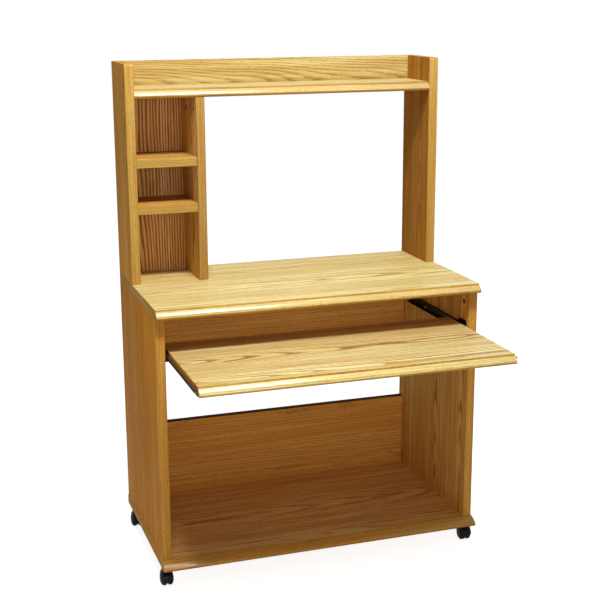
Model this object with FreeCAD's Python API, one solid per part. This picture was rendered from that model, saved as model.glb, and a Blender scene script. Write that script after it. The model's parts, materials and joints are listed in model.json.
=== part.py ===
"""Oak computer desk with a hutch, a pull-out keyboard tray and four twin-wheel casters.

Millimetres, +Z up, +X to the user's right, +Y away from the user. The origin is on the
floor, in the middle of the overall footprint with the tray pulled out as at rest.
"""
import FreeCAD, Part
import math
import os

# ---- panels ---------------------------------------------------------------
cabinet_width = 914.0          # over the outer faces of the two sides
panel = 25.0                   # thickness of every veneered panel
side_depth = 480.0             # front to rear of the lower sides
side_height = 670.0            # lower sides, standing on the base
lipping = 6.0                  # solid strip on the front edge of a plain panel
edge_round = 1.5               # eased corners of a lipping
base_overhang = 2.0            # base panel past the outer face of each side
lower_back_height = 225.0
modesty_height = 225.0

# ---- moulded front edges --------------------------------------------------
nosing_depth = 38.0            # strip from its joint with the panel to its tip
step_drop = 5.0                # small step below the top surface
curve_depth = 15.0             # from the step to the tip
curve_bulge = 2.2              # how far the curve stands off its chord
under_round = 7.0              # radius from the tip down to the flat underside
desktop_reach = 24.0           # desktop tip in front of the sides
base_reach = 30.0              # base tip in front of the sides
base_crown = 16.0              # drop of the base's curved top at its tip
base_bulge = 2.0

# ---- hutch ----------------------------------------------------------------
hutch_height = 602.0
hutch_depth = 188.0
hutch_corner = 8.0             # rounded top front corner of each hutch side
hutch_shelf_top = 534.0        # shelf surface above the desktop
cubby_width = 168.0            # left side to divider
cubby_shelf_tops = (219.0, 347.0)
cubby_setback = 2.0            # cubby shelves behind the hutch front

# ---- keyboard tray --------------------------------------------------------
tray_drop = 120.0              # tray surface below the desktop surface
tray_side_gap = 12.5           # room for a slide at each side
tray_closed_reach = 25.0       # tray tip in front of the sides when pushed in
tray_rear_gap = 70.0           # pushed-in tray's rear edge to the modesty panel

# ---- roller slides --------------------------------------------------------
sheet = 1.2                    # steel thickness of channel and runner
channel_height = 25.0
channel_setback = 12.0         # channel front behind the side front
channel_rear_gap = 43.0        # channel's rear end to the modesty panel
slide_overlap = 88.0           # length of runner still inside the channel at rest
ear_length = 52.0              # raised lug at the channel's front end
ear_rise = 9.0
ear_root = 13.0                # lug's overlap with the channel's web
runner_front_gap = 20.0        # runner front end behind the tray tip
runner_foot = 8.5              # foot screwed under the tray, off the runner's web
runner_lip = 4.0
web_clearance = 1.1            # channel's open edge to the runner's web
flange_clearance = 1.6         # runner's flange tip to the channel's web
lip_clearance = 0.7            # runner's lip to the front roller
channel_roller_gap = 2.8       # channel's web to the rear roller
flange_headroom = 9.5          # flange below the channel's upper inner face
roller_clearance = 0.15        # tread to the face that it rolls on
roller_side_play = 0.3
roller_rim_round = 0.75
front_roller_inset = 18.0      # roller axis behind the channel's front end
rear_roller_inset = 14.0       # roller axis ahead of the runner's rear end
roller_notch = 28.0            # flange cut away over the rear roller
runner_tab = 6.0               # runner's web above the rear roller's axis, beside that roller
pin_radius = 2.5
pin_head_radius = 3.6
pin_head = 0.8
running_clearance = 0.05       # radial, every turning bore

# ---- casters --------------------------------------------------------------
wheel_diameter = 40.0
wheel_width = 14.0             # inner face to the top of the domed outer face
tread_width = 9.5              # part of that width that can touch the floor
wheel_round = 1.5
shoulder_drop = 1.5            # dome's edge inside the tread's radius
hub_flat = 6.0                 # radius of the flat at the top of the dome
dome_bulge = 1.8               # how far the dome stands off its chord
axle_cap = 3.0                 # wheel left solid beyond the axle's end
axle_end_gap = 0.3
caster_web = 5.0               # hood's middle wall between the two wheels
hood_overhang = 0.8            # hood past the outer edge of each tread
wheel_side_gap = 0.8
caster_trail = 18.0            # stem axis to axle, level
caster_inset_y = 36.0          # stem axis from the front and rear of the sides
hood_gap = 1.5
hood_wall = 2.5
hood_skirt = 2.0               # hood's lower edge above the axle
web_radius = 17.0              # middle wall, hidden between the wheels
web_bottom = 3.5               # its flat bottom above the floor
boss_radius = 10.0
boss_rise = 8.0                # boss above the hood's crown
boss_top_gap = 1.0
stem_radius = 4.0
stem_seat = 14.0               # stem held in the boss
axle_radius = 3.0
socket_wall = 1.5
socket_flange_radius = 9.0
socket_flange = 2.0
socket_into_side = 15.0

# ---- fasteners ------------------------------------------------------------
cam_radius = 7.5
cam_floor = 4.5                # bottom of the cam's hole below the bolt's axis
cam_recess = 0.6               # cam face below the panel's surface
cam_fit = 0.1
cam_setback = 34.0             # cam axis to the joint it pulls up
cam_slot = 2.0
cam_slot_depth = 2.5
cam_slot_length = 9.0
bolt_radius = 3.0
bolt_bore_radius = 3.5
bolt_head_radius = 3.4
bolt_thread_radius = 2.5
bolt_thread_length = 11.0
cam_edge_inset = 33.0          # first cam from the front or rear of a side
divider_cam_front = 25.0       # divider cams from the hutch front
divider_cam_rear = 117.0
shelf_cam_inset = 45.0
rail_cam_rise = 34.0
back_cam_inset = 40.0
dowel_radius = 4.0
dowel_length = 30.0
dowel_tip = 1.0
dowel_inset = 60.0
back_dowel_inset = 120.0       # first dowel of the cubby back from the desktop or shelf
screws_per_side = 3            # up through the base into each side
screw_radius = 3.5
screw_head_radius = 5.0
screw_head = 4.0
screw_length = 60.0
screw_recess = 1.0
slide_screw_radius = 1.8
slide_screw_head_radius = 3.4
slide_screw_length = 14.0
slide_screw_cone = 1.7
slide_screw_end = 48.0         # first screw from each end of a channel or runner

# ---- modelling ------------------------------------------------------------
overcut = 1.0                  # how far a cutting tool runs past the face it opens
same = 1e-3                    # two places closer than this are one

# ---- derived positions ----------------------------------------------------
X = FreeCAD.Vector(1, 0, 0)
Y = FreeCAD.Vector(0, 1, 0)
Z = FreeCAD.Vector(0, 0, 1)
wheel_radius = wheel_diameter / 2
hood_radius = wheel_radius + hood_gap + hood_wall
boss_top = wheel_radius + hood_radius + boss_rise
caster_height = boss_top + boss_top_gap + socket_flange
socket_radius = stem_radius + running_clearance + socket_wall
half_caster = caster_web / 2 + wheel_side_gap + wheel_width
half_hood = caster_web / 2 + wheel_side_gap + tread_width + hood_overhang
half_axle = half_caster - axle_cap
cam_depth = panel / 2 + cam_floor
half_width = cabinet_width / 2
inner_x = half_width - panel
channel_length = side_depth - panel - channel_setback - channel_rear_gap
tray_depth = side_depth - panel - tray_rear_gap + tray_closed_reach
tray_reach = tray_depth - channel_setback - slide_overlap
front_y = (tray_reach - side_depth) / 2
rear_y = front_y + side_depth
base_bottom = caster_height
base_top = base_bottom + panel
side_top = base_top + side_height
desk_top = side_top + panel
hutch_front = rear_y - hutch_depth
hutch_top = desk_top + hutch_height
shelf_top = desk_top + hutch_shelf_top
shelf_bottom = shelf_top - panel
back_front = rear_y - panel
divider_left = -inner_x + cubby_width
divider_x = divider_left + panel / 2
divider_right = divider_left + panel
tray_top = desk_top - tray_drop
tray_bottom = tray_top - panel
tray_middle = tray_top - panel / 2
tray_tip = front_y - tray_reach
tray_rear = tray_tip + tray_depth
tray_half = inner_x - tray_side_gap
channel_front = front_y + channel_setback
channel_floor = tray_middle - channel_height / 2 + sheet
channel_ceiling = tray_middle + channel_height / 2 - sheet
flange_top = channel_ceiling - flange_headroom
flange_under = flange_top - sheet
rear_roller_radius = (channel_ceiling - channel_floor) / 2 - 2 * roller_clearance
rear_roller_z = channel_floor + roller_clearance + rear_roller_radius
rear_roller_y = tray_rear - rear_roller_inset
front_roller_radius = (flange_under - channel_floor) / 2 - roller_clearance
front_roller_z = channel_floor + roller_clearance + front_roller_radius
front_roller_y = channel_front + front_roller_inset
channel_width = tray_side_gap - sheet - web_clearance
runner_flange = tray_side_gap - 2 * sheet - flange_clearance
rear_roller_width = tray_side_gap - 2 * sheet - roller_side_play - channel_roller_gap
front_roller_end = channel_width - pin_head - roller_side_play
front_roller_start = sheet + flange_clearance + sheet + lip_clearance
front_roller_width = front_roller_end - front_roller_start


# ---- small helpers --------------------------------------------------------
def vec(x, y, z):
    return FreeCAD.Vector(x, y, z)


def block(low, high):
    """Box between two opposite corners."""
    size = [b - a for a, b in zip(low, high)]
    return Part.makeBox(*size, vec(*low))


def rod(start, direction, radius, length):
    return Part.makeCylinder(radius, length, start, direction)


def cone(start, direction, radius, end_radius, length):
    return Part.makeCone(radius, end_radius, length, start, direction)


def cut(shape, tools):
    return shape.cut(list(tools)) if tools else shape


def fuse(first, *others):
    return first.multiFuse(list(others)).removeSplitter()


def mirrored(shape):
    """The same piece on the other side of the desk."""
    return shape.mirror(vec(0, 0, 0), X)


def both_sides(shapes):
    return list(shapes) + [mirrored(s) for s in shapes]


def line(a, b):
    return Part.LineSegment(vec(0, *a), vec(0, *b)).toShape()


def bulged(a, b, bulge):
    """Arc from a to b in the YZ plane that stands off its chord towards the front and top."""
    chord = vec(0, b[0] - a[0], b[1] - a[1])
    out = X.cross(chord).normalize() * -bulge
    middle = vec(0, (a[0] + b[0]) / 2, (a[1] + b[1]) / 2) + out
    return Part.Arc(vec(0, *a), middle, vec(0, *b)).toShape()


def under_arc(tip_y, bottom_z, radius):
    """Quarter round from the tip down to the flat underside."""
    share = radius * (1 - math.sqrt(0.5))
    middle = vec(0, tip_y + share, bottom_z + share)
    return Part.Arc(vec(0, tip_y, bottom_z + radius), middle, vec(0, tip_y + radius, bottom_z)).toShape()


def extrude_along_x(edges, x0, x1):
    """Closed outline in the YZ plane, made solid from x0 to x1."""
    face = Part.Face(Part.Wire(edges))
    face.translate(vec(x0, 0, 0))
    return face.extrude(vec(x1 - x0, 0, 0))


def save(name, shapes):
    """Write one node; a list is a group of identical pieces."""
    pieces = shapes if isinstance(shapes, list) else [shapes]
    shape = pieces[0] if len(pieces) == 1 else Part.makeCompound(pieces)
    shape.exportStep("parts/%s.step" % name)


# ---- cam fittings ---------------------------------------------------------
class CamFitting:
    """Round cam sunk in one panel, and the bolt it pulls, screwed into the next panel.

    joint is the point on the joint plane, on the bolt's axis, pull points from the cam's
    panel into the other one, and mouth is the outward normal of the face the cam sits in.
    """

    def __init__(self, joint, pull, mouth):
        self.joint, self.pull, self.mouth = joint, pull, mouth
        self.centre = joint - pull * cam_setback
        self.face = self.centre + mouth * (panel / 2)

    def own_holes(self):
        """What is drilled in the cam's own panel."""
        cam_hole = rod(self.face, -self.mouth, cam_radius, cam_depth)
        return [cam_hole, rod(self.joint, -self.pull, bolt_bore_radius, cam_setback)]

    def mate_hole(self):
        return rod(self.joint, self.pull, bolt_thread_radius, bolt_thread_length)

    def bolt(self):
        shank = rod(self.joint, -self.pull, bolt_radius, cam_setback)
        head = rod(self.centre, self.pull, bolt_head_radius, bolt_head_radius)
        thread = rod(self.joint, self.pull, bolt_thread_radius, bolt_thread_length)
        return fuse(shank, head, thread)

    def cam(self):
        top = self.face - self.mouth * cam_recess
        radius = cam_radius - cam_fit
        disc = rod(top, -self.mouth, radius, cam_depth - cam_recess - cam_fit)
        side = self.mouth.cross(self.pull)
        tools = [self.slot(top, self.pull, side), self.slot(top, side, self.pull)]
        pocket = rod(self.centre - self.pull * cam_fit, self.pull, bolt_head_radius + cam_fit, cam_radius)
        return cut(disc, tools + [pocket])

    def slot(self, top, along, across):
        """One bar of the cross that the screwdriver turns."""
        centre = top - self.mouth * (cam_slot_depth / 2)
        reach = along * (cam_slot_length / 2) + across * (cam_slot / 2) + self.mouth * (cam_slot_depth / 2)
        a, b = centre - reach, centre + reach
        low = vec(min(a.x, b.x), min(a.y, b.y), min(a.z, b.z))
        high = vec(max(a.x, b.x), max(a.y, b.y), max(a.z, b.z))
        return block(tuple(low), tuple(high))


def outward(sign):
    """Unit vector towards the left (-1) or right (+1) of the desk."""
    return X * sign


def side_cams(sign):
    """In each lower side, pulling the desktop down."""
    x = sign * (inner_x + panel / 2)
    ys = (front_y + cam_edge_inset, rear_y - cam_edge_inset)
    return [CamFitting(vec(x, y, side_top), Z, outward(-sign)) for y in ys]


def divider_cams():
    ys = (hutch_front + divider_cam_front, hutch_front + divider_cam_rear)
    return [CamFitting(vec(divider_x, y, shelf_bottom), Z, -X) for y in ys]


def shelf_cams(sign):
    """In the underside of the hutch shelf, pulling each hutch side in."""
    z = shelf_top - panel / 2
    ys = (hutch_front + shelf_cam_inset, rear_y - panel - shelf_cam_inset)
    return [CamFitting(vec(sign * inner_x, y, z), outward(sign), -Z) for y in ys]


def rail_cams(sign):
    z = shelf_top + rail_cam_rise
    return [CamFitting(vec(sign * inner_x, rear_y - panel / 2, z), outward(sign), Y)]


def back_cams(sign, low, high):
    """In the rear face of a lower back panel, near its bottom and top."""
    y = rear_y - panel / 2
    zs = (low + back_cam_inset, high - back_cam_inset)
    return [CamFitting(vec(sign * inner_x, y, z), outward(sign), Y) for z in zs]


def lower_back_cams(sign):
    return back_cams(sign, base_top, base_top + lower_back_height)


def modesty_cams(sign):
    return back_cams(sign, side_top - modesty_height, side_top)


def all_cams():
    cams = divider_cams()
    for sign in (-1, 1):
        cams += side_cams(sign) + shelf_cams(sign) + rail_cams(sign)
        cams += lower_back_cams(sign) + modesty_cams(sign)
    return cams


def own_holes(cams):
    return [hole for cam in cams for hole in cam.own_holes()]


def mate_holes(cams):
    return [cam.mate_hole() for cam in cams]


# ---- dowels and screws ----------------------------------------------------
def dowel_spots():
    """(centre on the joint plane, axis) of every dowel."""
    spots = []
    upright_ys = (hutch_front + dowel_inset, rear_y - dowel_inset)
    for x in (-inner_x - panel / 2, divider_x, inner_x + panel / 2):
        spots += [(vec(x, y, desk_top), Z) for y in upright_ys]
    shelf_ys = (hutch_front + dowel_inset, back_front - dowel_inset)
    for top in cubby_shelf_tops:
        z = desk_top + top - panel / 2
        spots += [(vec(x, y, z), X) for x in (-inner_x, divider_left) for y in shelf_ys]
    for z in (desk_top + back_dowel_inset, shelf_bottom - back_dowel_inset):
        spots += [(vec(x, rear_y - panel / 2, z), X) for x in (-inner_x, divider_left)]
    return spots


def dowel_body(spot):
    """Round peg with a chamfer at each end."""
    centre, axis = spot
    half, end_radius = dowel_length / 2 - dowel_tip, dowel_radius - dowel_tip
    middle = rod(centre - axis * half, axis, dowel_radius, 2 * half)
    tips = [cone(centre + way * half, way, dowel_radius, end_radius, dowel_tip) for way in (-axis, axis)]
    return fuse(middle, *tips)


def dowel_holes():
    return [rod(c - a * (dowel_length / 2), a, dowel_radius, dowel_length) for c, a in dowel_spots()]


def base_screw_spots():
    """Under each side, evenly spaced between the casters."""
    step = (side_depth - 2 * caster_inset_y) / (screws_per_side + 1)
    ys = [front_y + caster_inset_y + step * (i + 1) for i in range(screws_per_side)]
    x, z = inner_x + panel / 2, base_bottom + screw_recess
    return [vec(sign * x, y, z) for sign in (-1, 1) for y in ys]


def base_screw(spot):
    head = cone(spot, Z, screw_head_radius, screw_radius, screw_head)
    return fuse(head, rod(spot, Z, screw_radius, screw_length))


def base_screw_hole(spot):
    mouth = rod(spot - Z * screw_recess, Z, screw_head_radius, screw_recess)
    return fuse(mouth, base_screw(spot))


def base_screw_holes():
    return [base_screw_hole(spot) for spot in base_screw_spots()]


# ---- panels ---------------------------------------------------------------
def eased_strip(x0, x1, y, z0, z1):
    """Solid lipping on a panel's front edge, its two long front corners eased."""
    strip = block((x0, y, z0), (x1, y + lipping, z1))
    length = max(x1 - x0, z1 - z0)
    front = [e for e in strip.Edges if e.BoundBox.YMax < y + same]
    return strip.makeFillet(edge_round, [e for e in front if abs(e.Length - length) < same])


def nosing(x0, x1, tip_y, top_z):
    """Moulded strip: flat top, small step, bulging curve to the tip, rounded under."""
    bottom = top_z - panel
    back = tip_y + nosing_depth
    step_y = tip_y + curve_depth
    low_step = (step_y, top_z - step_drop)
    tip = (tip_y, bottom + under_round)
    edges = [line((back, bottom), (back, top_z)), line((back, top_z), (step_y, top_z)),
             line((step_y, top_z), low_step), bulged(low_step, tip, curve_bulge),
             under_arc(tip_y, bottom, under_round), line((tip_y + under_round, bottom), (back, bottom))]
    return extrude_along_x(edges, x0, x1)


def base_edge_strip():
    """Base's front strip: its curved top starts at the front of the sides."""
    tip_y = front_y - base_reach
    back = tip_y + nosing_depth
    radius = panel - base_crown
    tip = (tip_y, base_top - base_crown)
    edges = [line((back, base_bottom), (back, base_top)), line((back, base_top), (front_y, base_top)),
             bulged((front_y, base_top), tip, base_bulge), under_arc(tip_y, base_bottom, radius),
             line((tip_y + radius, base_bottom), (back, base_bottom))]
    return extrude_along_x(edges, -half_width - base_overhang, half_width + base_overhang)


def x_span(sign):
    """Low and high X of a side panel."""
    return (inner_x, half_width) if sign > 0 else (-half_width, -inner_x)


def lower_side(sign):
    x0, x1 = x_span(sign)
    board = block((x0, front_y + lipping, base_top), (x1, rear_y, side_top))
    tools = own_holes(side_cams(sign)) + mate_holes(lower_back_cams(sign) + modesty_cams(sign))
    tools += base_screw_holes() + socket_holes() + slide_screws_in(channel_screws())
    return cut(board, tools)


def side_lippings():
    x0, x1 = x_span(-1)
    strip = eased_strip(x0, x1, front_y, base_top, side_top)
    return both_sides([strip])


def desktop_panel():
    front = front_y - desktop_reach + nosing_depth
    board = block((-half_width, front, side_top), (half_width, rear_y, desk_top))
    tools = dowel_holes()
    for sign in (-1, 1):
        tools += mate_holes(side_cams(sign))
    return cut(board, tools)


def desktop_nosing():
    return nosing(-half_width, half_width, front_y - desktop_reach, desk_top)


def base_panel():
    edge = half_width + base_overhang
    board = block((-edge, front_y - base_reach + nosing_depth, base_bottom), (edge, rear_y, base_top))
    return cut(board, base_screw_holes() + socket_holes())


def back_board(low, high, cams):
    board = block((-inner_x, back_front, low), (inner_x, rear_y, high))
    return cut(board, own_holes(cams(-1) + cams(1)))


def lower_back_panel():
    return back_board(base_top, base_top + lower_back_height, lower_back_cams)


def modesty_panel():
    return back_board(side_top - modesty_height, side_top, modesty_cams)


# ---- hutch ----------------------------------------------------------------
def hutch_side(sign):
    x0, x1 = x_span(sign)
    board = block((x0, hutch_front + lipping, desk_top), (x1, rear_y, hutch_top))
    tools = dowel_holes() + mate_holes(shelf_cams(sign) + rail_cams(sign)) + [hutch_corner_cutter()]
    return cut(board, tools)


def hutch_corner_cutter():
    """What a round router bit takes off the top front corner of a hutch side."""
    edge = half_width + overcut
    y, z = hutch_front + hutch_corner, hutch_top - hutch_corner
    square = block((-edge, hutch_front - overcut, z), (edge, y, hutch_top + overcut))
    return square.cut(rod(vec(-edge, y, z), X, hutch_corner, 2 * edge))


def hutch_side_lippings():
    x0, x1 = x_span(-1)
    strip = eased_strip(x0, x1, hutch_front, desk_top, hutch_top)
    return both_sides([cut(strip, [hutch_corner_cutter()])])


def hutch_shelf():
    board = block((-inner_x, hutch_front + nosing_depth, shelf_bottom), (inner_x, rear_y, shelf_top))
    tools = own_holes(shelf_cams(-1) + shelf_cams(1)) + mate_holes(divider_cams())
    return cut(board, tools)


def hutch_shelf_nosing():
    strip = nosing(-inner_x, inner_x, hutch_front, shelf_top)
    return cut(strip, own_holes(shelf_cams(-1) + shelf_cams(1)) + mate_holes(divider_cams()))


def hutch_back_rail():
    board = block((-inner_x, back_front, shelf_top), (inner_x, rear_y, hutch_top))
    return cut(board, own_holes(rail_cams(-1) + rail_cams(1)))


def divider():
    board = block((divider_left, hutch_front + lipping, desk_top), (divider_right, rear_y, shelf_bottom))
    return cut(board, own_holes(divider_cams()) + dowel_holes())


def divider_lipping():
    return eased_strip(divider_left, divider_right, hutch_front, desk_top, shelf_bottom)


def cubby_shelf(top):
    z = desk_top + top
    front = hutch_front + cubby_setback + lipping
    board = block((-inner_x, front, z - panel), (divider_left, back_front, z))
    return cut(board, dowel_holes())


def cubby_shelf_lippings():
    y = hutch_front + cubby_setback
    tops = [desk_top + top for top in cubby_shelf_tops]
    return [eased_strip(-inner_x, divider_left, y, z - panel, z) for z in tops]


def cubby_back():
    board = block((-inner_x, back_front, desk_top), (divider_left, rear_y, shelf_bottom))
    return cut(board, dowel_holes())


# ---- keyboard tray --------------------------------------------------------
def tray_panel():
    board = block((-tray_half, tray_tip + nosing_depth, tray_bottom), (tray_half, tray_rear, tray_top))
    return cut(board, slide_screws_in(runner_screws()))


def tray_nosing():
    return nosing(-tray_half, tray_half, tray_tip, tray_top)


# ---- roller slides (left; the right ones are mirrored) --------------------
def channel():
    """C section screwed to the side, open towards the tray, with a raised front ear."""
    x0, x1 = -inner_x, -inner_x + channel_width
    y0, y1 = channel_front, channel_front + channel_length
    low, high = channel_floor - sheet, channel_ceiling + sheet
    web = block((x0, y0, low), (x0 + sheet, y1, high))
    floor = block((x0, y0, low), (x1, y1, channel_floor))
    ceiling = block((x0, y0, channel_ceiling), (x1, y1, high))
    section = fuse(web, floor, ceiling, channel_ear(x0, y0, high))
    return cut(section, slide_screws_in(channel_screws()) + [front_roller_shank()])


def channel_ear(x0, y0, high):
    """Raised lug of the web, its upper corners rounded to quarter circles."""
    low = high - ear_root
    plate = block((x0, y0, low), (x0 + sheet, y0 + ear_length, high + ear_rise))
    corners = [e for e in plate.Edges if ear_corner(e, high + ear_rise)]
    return plate.makeFillet(ear_rise, corners)


def ear_corner(edge, z):
    """One of the two short edges at the top of the lug."""
    return edge.BoundBox.ZMin > z - same and edge.Length < sheet + same


def runner():
    """L section on the tray's edge: foot under the tray, web, outward flange with a lip."""
    x_web = -tray_half - sheet
    x_tip = x_web - runner_flange
    y0, y1 = tray_tip + runner_front_gap, tray_rear
    under = tray_bottom - sheet
    web = block((x_web, y0, under), (-tray_half, y1, flange_top))
    foot = block((x_web, y0, under), (-tray_half + runner_foot, y1, tray_bottom))
    flange = block((x_tip, y0, flange_under), (-tray_half, y1 - roller_notch, flange_top))
    lip = block((x_tip, y0, flange_top - runner_lip), (x_tip + sheet, y1 - roller_notch, flange_top))
    tab = block((x_web, y1 - roller_notch, under), (-tray_half, y1, rear_roller_z + runner_tab))
    section = fuse(web, foot, flange, lip, tab)
    return cut(section, slide_screws_in(runner_screws()) + [rear_roller_pin()])


def roller(x, y, z, radius, width):
    """Nylon tread with eased rims, bored to turn on its pin."""
    tread = rod(vec(x, y, z), X, radius, width)
    rims = [e for e in tread.Edges if abs(e.Length - 2 * math.pi * radius) < same]
    eased = tread.makeFillet(roller_rim_round, rims)
    bore = rod(vec(x - overcut, y, z), X, pin_radius + running_clearance, width + 2 * overcut)
    return eased.cut(bore)


def front_roller():
    x = -inner_x + front_roller_start
    return roller(x, front_roller_y, front_roller_z, front_roller_radius, front_roller_width)


def front_roller_shank():
    return rod(vec(-inner_x, front_roller_y, front_roller_z), X, pin_radius, channel_width)


def front_roller_pin():
    """Riveted through the channel's web, its head flush with the channel's open edge."""
    end = vec(-inner_x + channel_width, front_roller_y, front_roller_z)
    return fuse(front_roller_shank(), rod(end, -X, pin_head_radius, pin_head))


def rear_roller():
    x = -tray_half - sheet - roller_side_play - rear_roller_width
    return roller(x, rear_roller_y, rear_roller_z, rear_roller_radius, rear_roller_width)


def rear_roller_pin():
    """Riveted through the runner's web, its outer end flush with the roller."""
    reach = sheet + roller_side_play + rear_roller_width
    return rod(vec(-tray_half, rear_roller_y, rear_roller_z), -X, pin_radius, reach)


def spread(y0, y1):
    """Three screws: one near each end and one midway."""
    return (y0 + slide_screw_end, (y0 + y1) / 2, y1 - slide_screw_end)


def channel_screws():
    """(head centre, direction) on the channel's inner face, both sides."""
    ys = spread(channel_front, channel_front + channel_length)
    left = [(vec(-inner_x + sheet, y, front_roller_z), -X) for y in ys]
    return left + [(vec(-p.x, p.y, p.z), X) for p, _ in left]


def runner_screws():
    """(head centre, direction) on the runner's outer face, both sides."""
    ys = spread(tray_tip + nosing_depth, tray_rear)
    left = [(vec(-tray_half - sheet, y, front_roller_z), X) for y in ys]
    return left + [(vec(-p.x, p.y, p.z), -X) for p, _ in left]


def slide_screw(spot):
    start, direction = spot
    head = cone(start, direction, slide_screw_head_radius, slide_screw_radius, slide_screw_cone)
    return fuse(head, rod(start, direction, slide_screw_radius, slide_screw_length))


def slide_screws_in(spots):
    """The screws' own shapes, as holes."""
    return [slide_screw(spot) for spot in spots]


# ---- casters --------------------------------------------------------------
def caster_stems():
    """Name and stem axis (x, y) of each caster."""
    x = inner_x + panel / 2
    front, rear = front_y + caster_inset_y, rear_y - caster_inset_y
    return {"front_left": (-x, front), "front_right": (x, front),
            "rear_left": (-x, rear), "rear_right": (x, rear)}


def socket_holes():
    length = panel + socket_into_side
    return [rod(vec(x, y, base_bottom), Z, socket_radius, length) for x, y in caster_stems().values()]


def caster_socket(x, y):
    """Sleeve driven up through the base into the side, with a flange under the base."""
    sleeve = rod(vec(x, y, base_bottom), Z, socket_radius, panel + socket_into_side)
    flange = rod(vec(x, y, base_bottom - socket_flange), Z, socket_flange_radius, socket_flange)
    start = vec(x, y, base_bottom - socket_flange - overcut)
    length = panel + socket_into_side + socket_flange + 2 * overcut
    return fuse(sleeve, flange).cut(rod(start, Z, stem_radius + running_clearance, length))


def caster_stem(x, y):
    bottom = boss_top - stem_seat
    return rod(vec(x, y, bottom), Z, stem_radius, base_bottom + panel + socket_into_side - bottom)


def wheel_room(x, y):
    """Space swept by both wheels, outside the hood's middle wall."""
    radius = wheel_radius + hood_gap
    half, reach = half_caster + overcut, radius + overcut
    room = rod(vec(x - half, y, wheel_radius), X, radius, 2 * half)
    low = (x - caster_web / 2, y - reach, wheel_radius - reach)
    high = (x + caster_web / 2, y + reach, wheel_radius + reach)
    return room.cut(block(low, high))


def caster_hood(x, stem_y):
    """Arched hood over both treads, middle wall and stem boss in one moulding."""
    y = stem_y - caster_trail
    skirt_z, crown_z = wheel_radius + hood_skirt, wheel_radius + hood_radius
    low, high = (x - half_hood, y - hood_radius), (x + half_hood, y + hood_radius)
    crown = rod(vec(x - half_hood, y, wheel_radius), X, hood_radius, 2 * half_hood)
    upper = crown.common(block((*low, skirt_z), (*high, crown_z)))
    wall = rod(vec(x - caster_web / 2, y, wheel_radius), X, web_radius, caster_web)
    lower = wall.common(block((*low, web_bottom), (*high, crown_z)))
    boss = rod(vec(x, stem_y, skirt_z), Z, boss_radius, boss_top - skirt_z)
    body = fuse(upper, lower, boss).cut(wheel_room(x, y))
    return body.cut(caster_axle(x, stem_y)).cut(caster_stem(x, stem_y))


def caster_axle(x, stem_y):
    start = vec(x - half_axle, stem_y - caster_trail, wheel_radius)
    return rod(start, X, axle_radius, 2 * half_axle)


def wheel_outline():
    """Half section in the XY plane: radius along X, inner to outer face along Y."""
    shoulder = vec(wheel_radius - shoulder_drop, tread_width, 0)
    hub = vec(hub_flat, wheel_width, 0)
    out = (hub - shoulder).cross(Z).normalize() * dome_bulge
    dome = Part.Arc(shoulder, (shoulder + hub) / 2 + out, hub).toShape()
    corners = [(0, wheel_width), (0, 0), (wheel_radius - wheel_round, 0), (wheel_radius, wheel_round),
               (wheel_radius, tread_width - wheel_round)]
    points = [hub] + [vec(*corner, 0) for corner in corners] + [shoulder]
    sides = [Part.LineSegment(a, b).toShape() for a, b in zip(points, points[1:])]
    return Part.Face(Part.Wire(sides + [dome]))


def caster_wheel(x, stem_y, side):
    """Wheel with a short tread and a closed, domed outer face; side is -1 or +1."""
    inner = vec(x + side * (caster_web / 2 + wheel_side_gap), stem_y - caster_trail, wheel_radius)
    wheel = wheel_outline().revolve(vec(0, 0, 0), Y, 360)
    wheel.rotate(vec(0, 0, 0), Z, -90 * side)
    wheel.translate(inner)
    axis = X * side
    depth = wheel_width - axle_cap + axle_end_gap + overcut
    return wheel.cut(rod(inner - axis * overcut, axis, axle_radius + running_clearance, depth))


def save_caster(name, x, stem_y):
    save("caster_%s_hood" % name, caster_hood(x, stem_y))
    save("caster_%s_stem" % name, caster_stem(x, stem_y))
    save("caster_%s_axle" % name, caster_axle(x, stem_y))
    save("caster_%s_wheel_left" % name, caster_wheel(x, stem_y, -1))
    save("caster_%s_wheel_right" % name, caster_wheel(x, stem_y, 1))


# ---- everything -----------------------------------------------------------
def save_cabinet():
    save("left_side", lower_side(-1))
    save("right_side", lower_side(1))
    save("side_lippings", side_lippings())
    save("desktop_panel", desktop_panel())
    save("desktop_nosing", desktop_nosing())
    save("base_panel", base_panel())
    save("base_nosing", base_edge_strip())
    save("lower_back_panel", lower_back_panel())
    save("modesty_panel", modesty_panel())


def save_hutch():
    save("hutch_left_side", hutch_side(-1))
    save("hutch_right_side", hutch_side(1))
    save("hutch_side_lippings", hutch_side_lippings())
    save("hutch_shelf", hutch_shelf())
    save("hutch_shelf_nosing", hutch_shelf_nosing())
    save("hutch_back_rail", hutch_back_rail())
    save("divider", divider())
    save("divider_lipping", divider_lipping())
    save("lower_cubby_shelf", cubby_shelf(cubby_shelf_tops[0]))
    save("upper_cubby_shelf", cubby_shelf(cubby_shelf_tops[1]))
    save("cubby_shelf_lippings", cubby_shelf_lippings())
    save("cubby_back", cubby_back())


def save_tray():
    save("tray_panel", tray_panel())
    save("tray_nosing", tray_nosing())
    for name, build in (("channel", channel), ("runner", runner),
                        ("front_roller", front_roller), ("rear_roller", rear_roller)):
        save("left_" + name, build())
        save("right_" + name, mirrored(build()))
    save("front_roller_pins", both_sides([front_roller_pin()]))
    save("rear_roller_pins", both_sides([rear_roller_pin()]))
    save("channel_screws", [slide_screw(spot) for spot in channel_screws()])
    save("runner_screws", [slide_screw(spot) for spot in runner_screws()])


def save_fasteners():
    save("cam_locks", [cam.cam() for cam in all_cams()])
    save("cam_bolts", [cam.bolt() for cam in all_cams()])
    save("dowels", [dowel_body(spot) for spot in dowel_spots()])
    save("base_screws", [base_screw(spot) for spot in base_screw_spots()])
    save("caster_sockets", [caster_socket(x, y) for x, y in caster_stems().values()])


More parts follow.
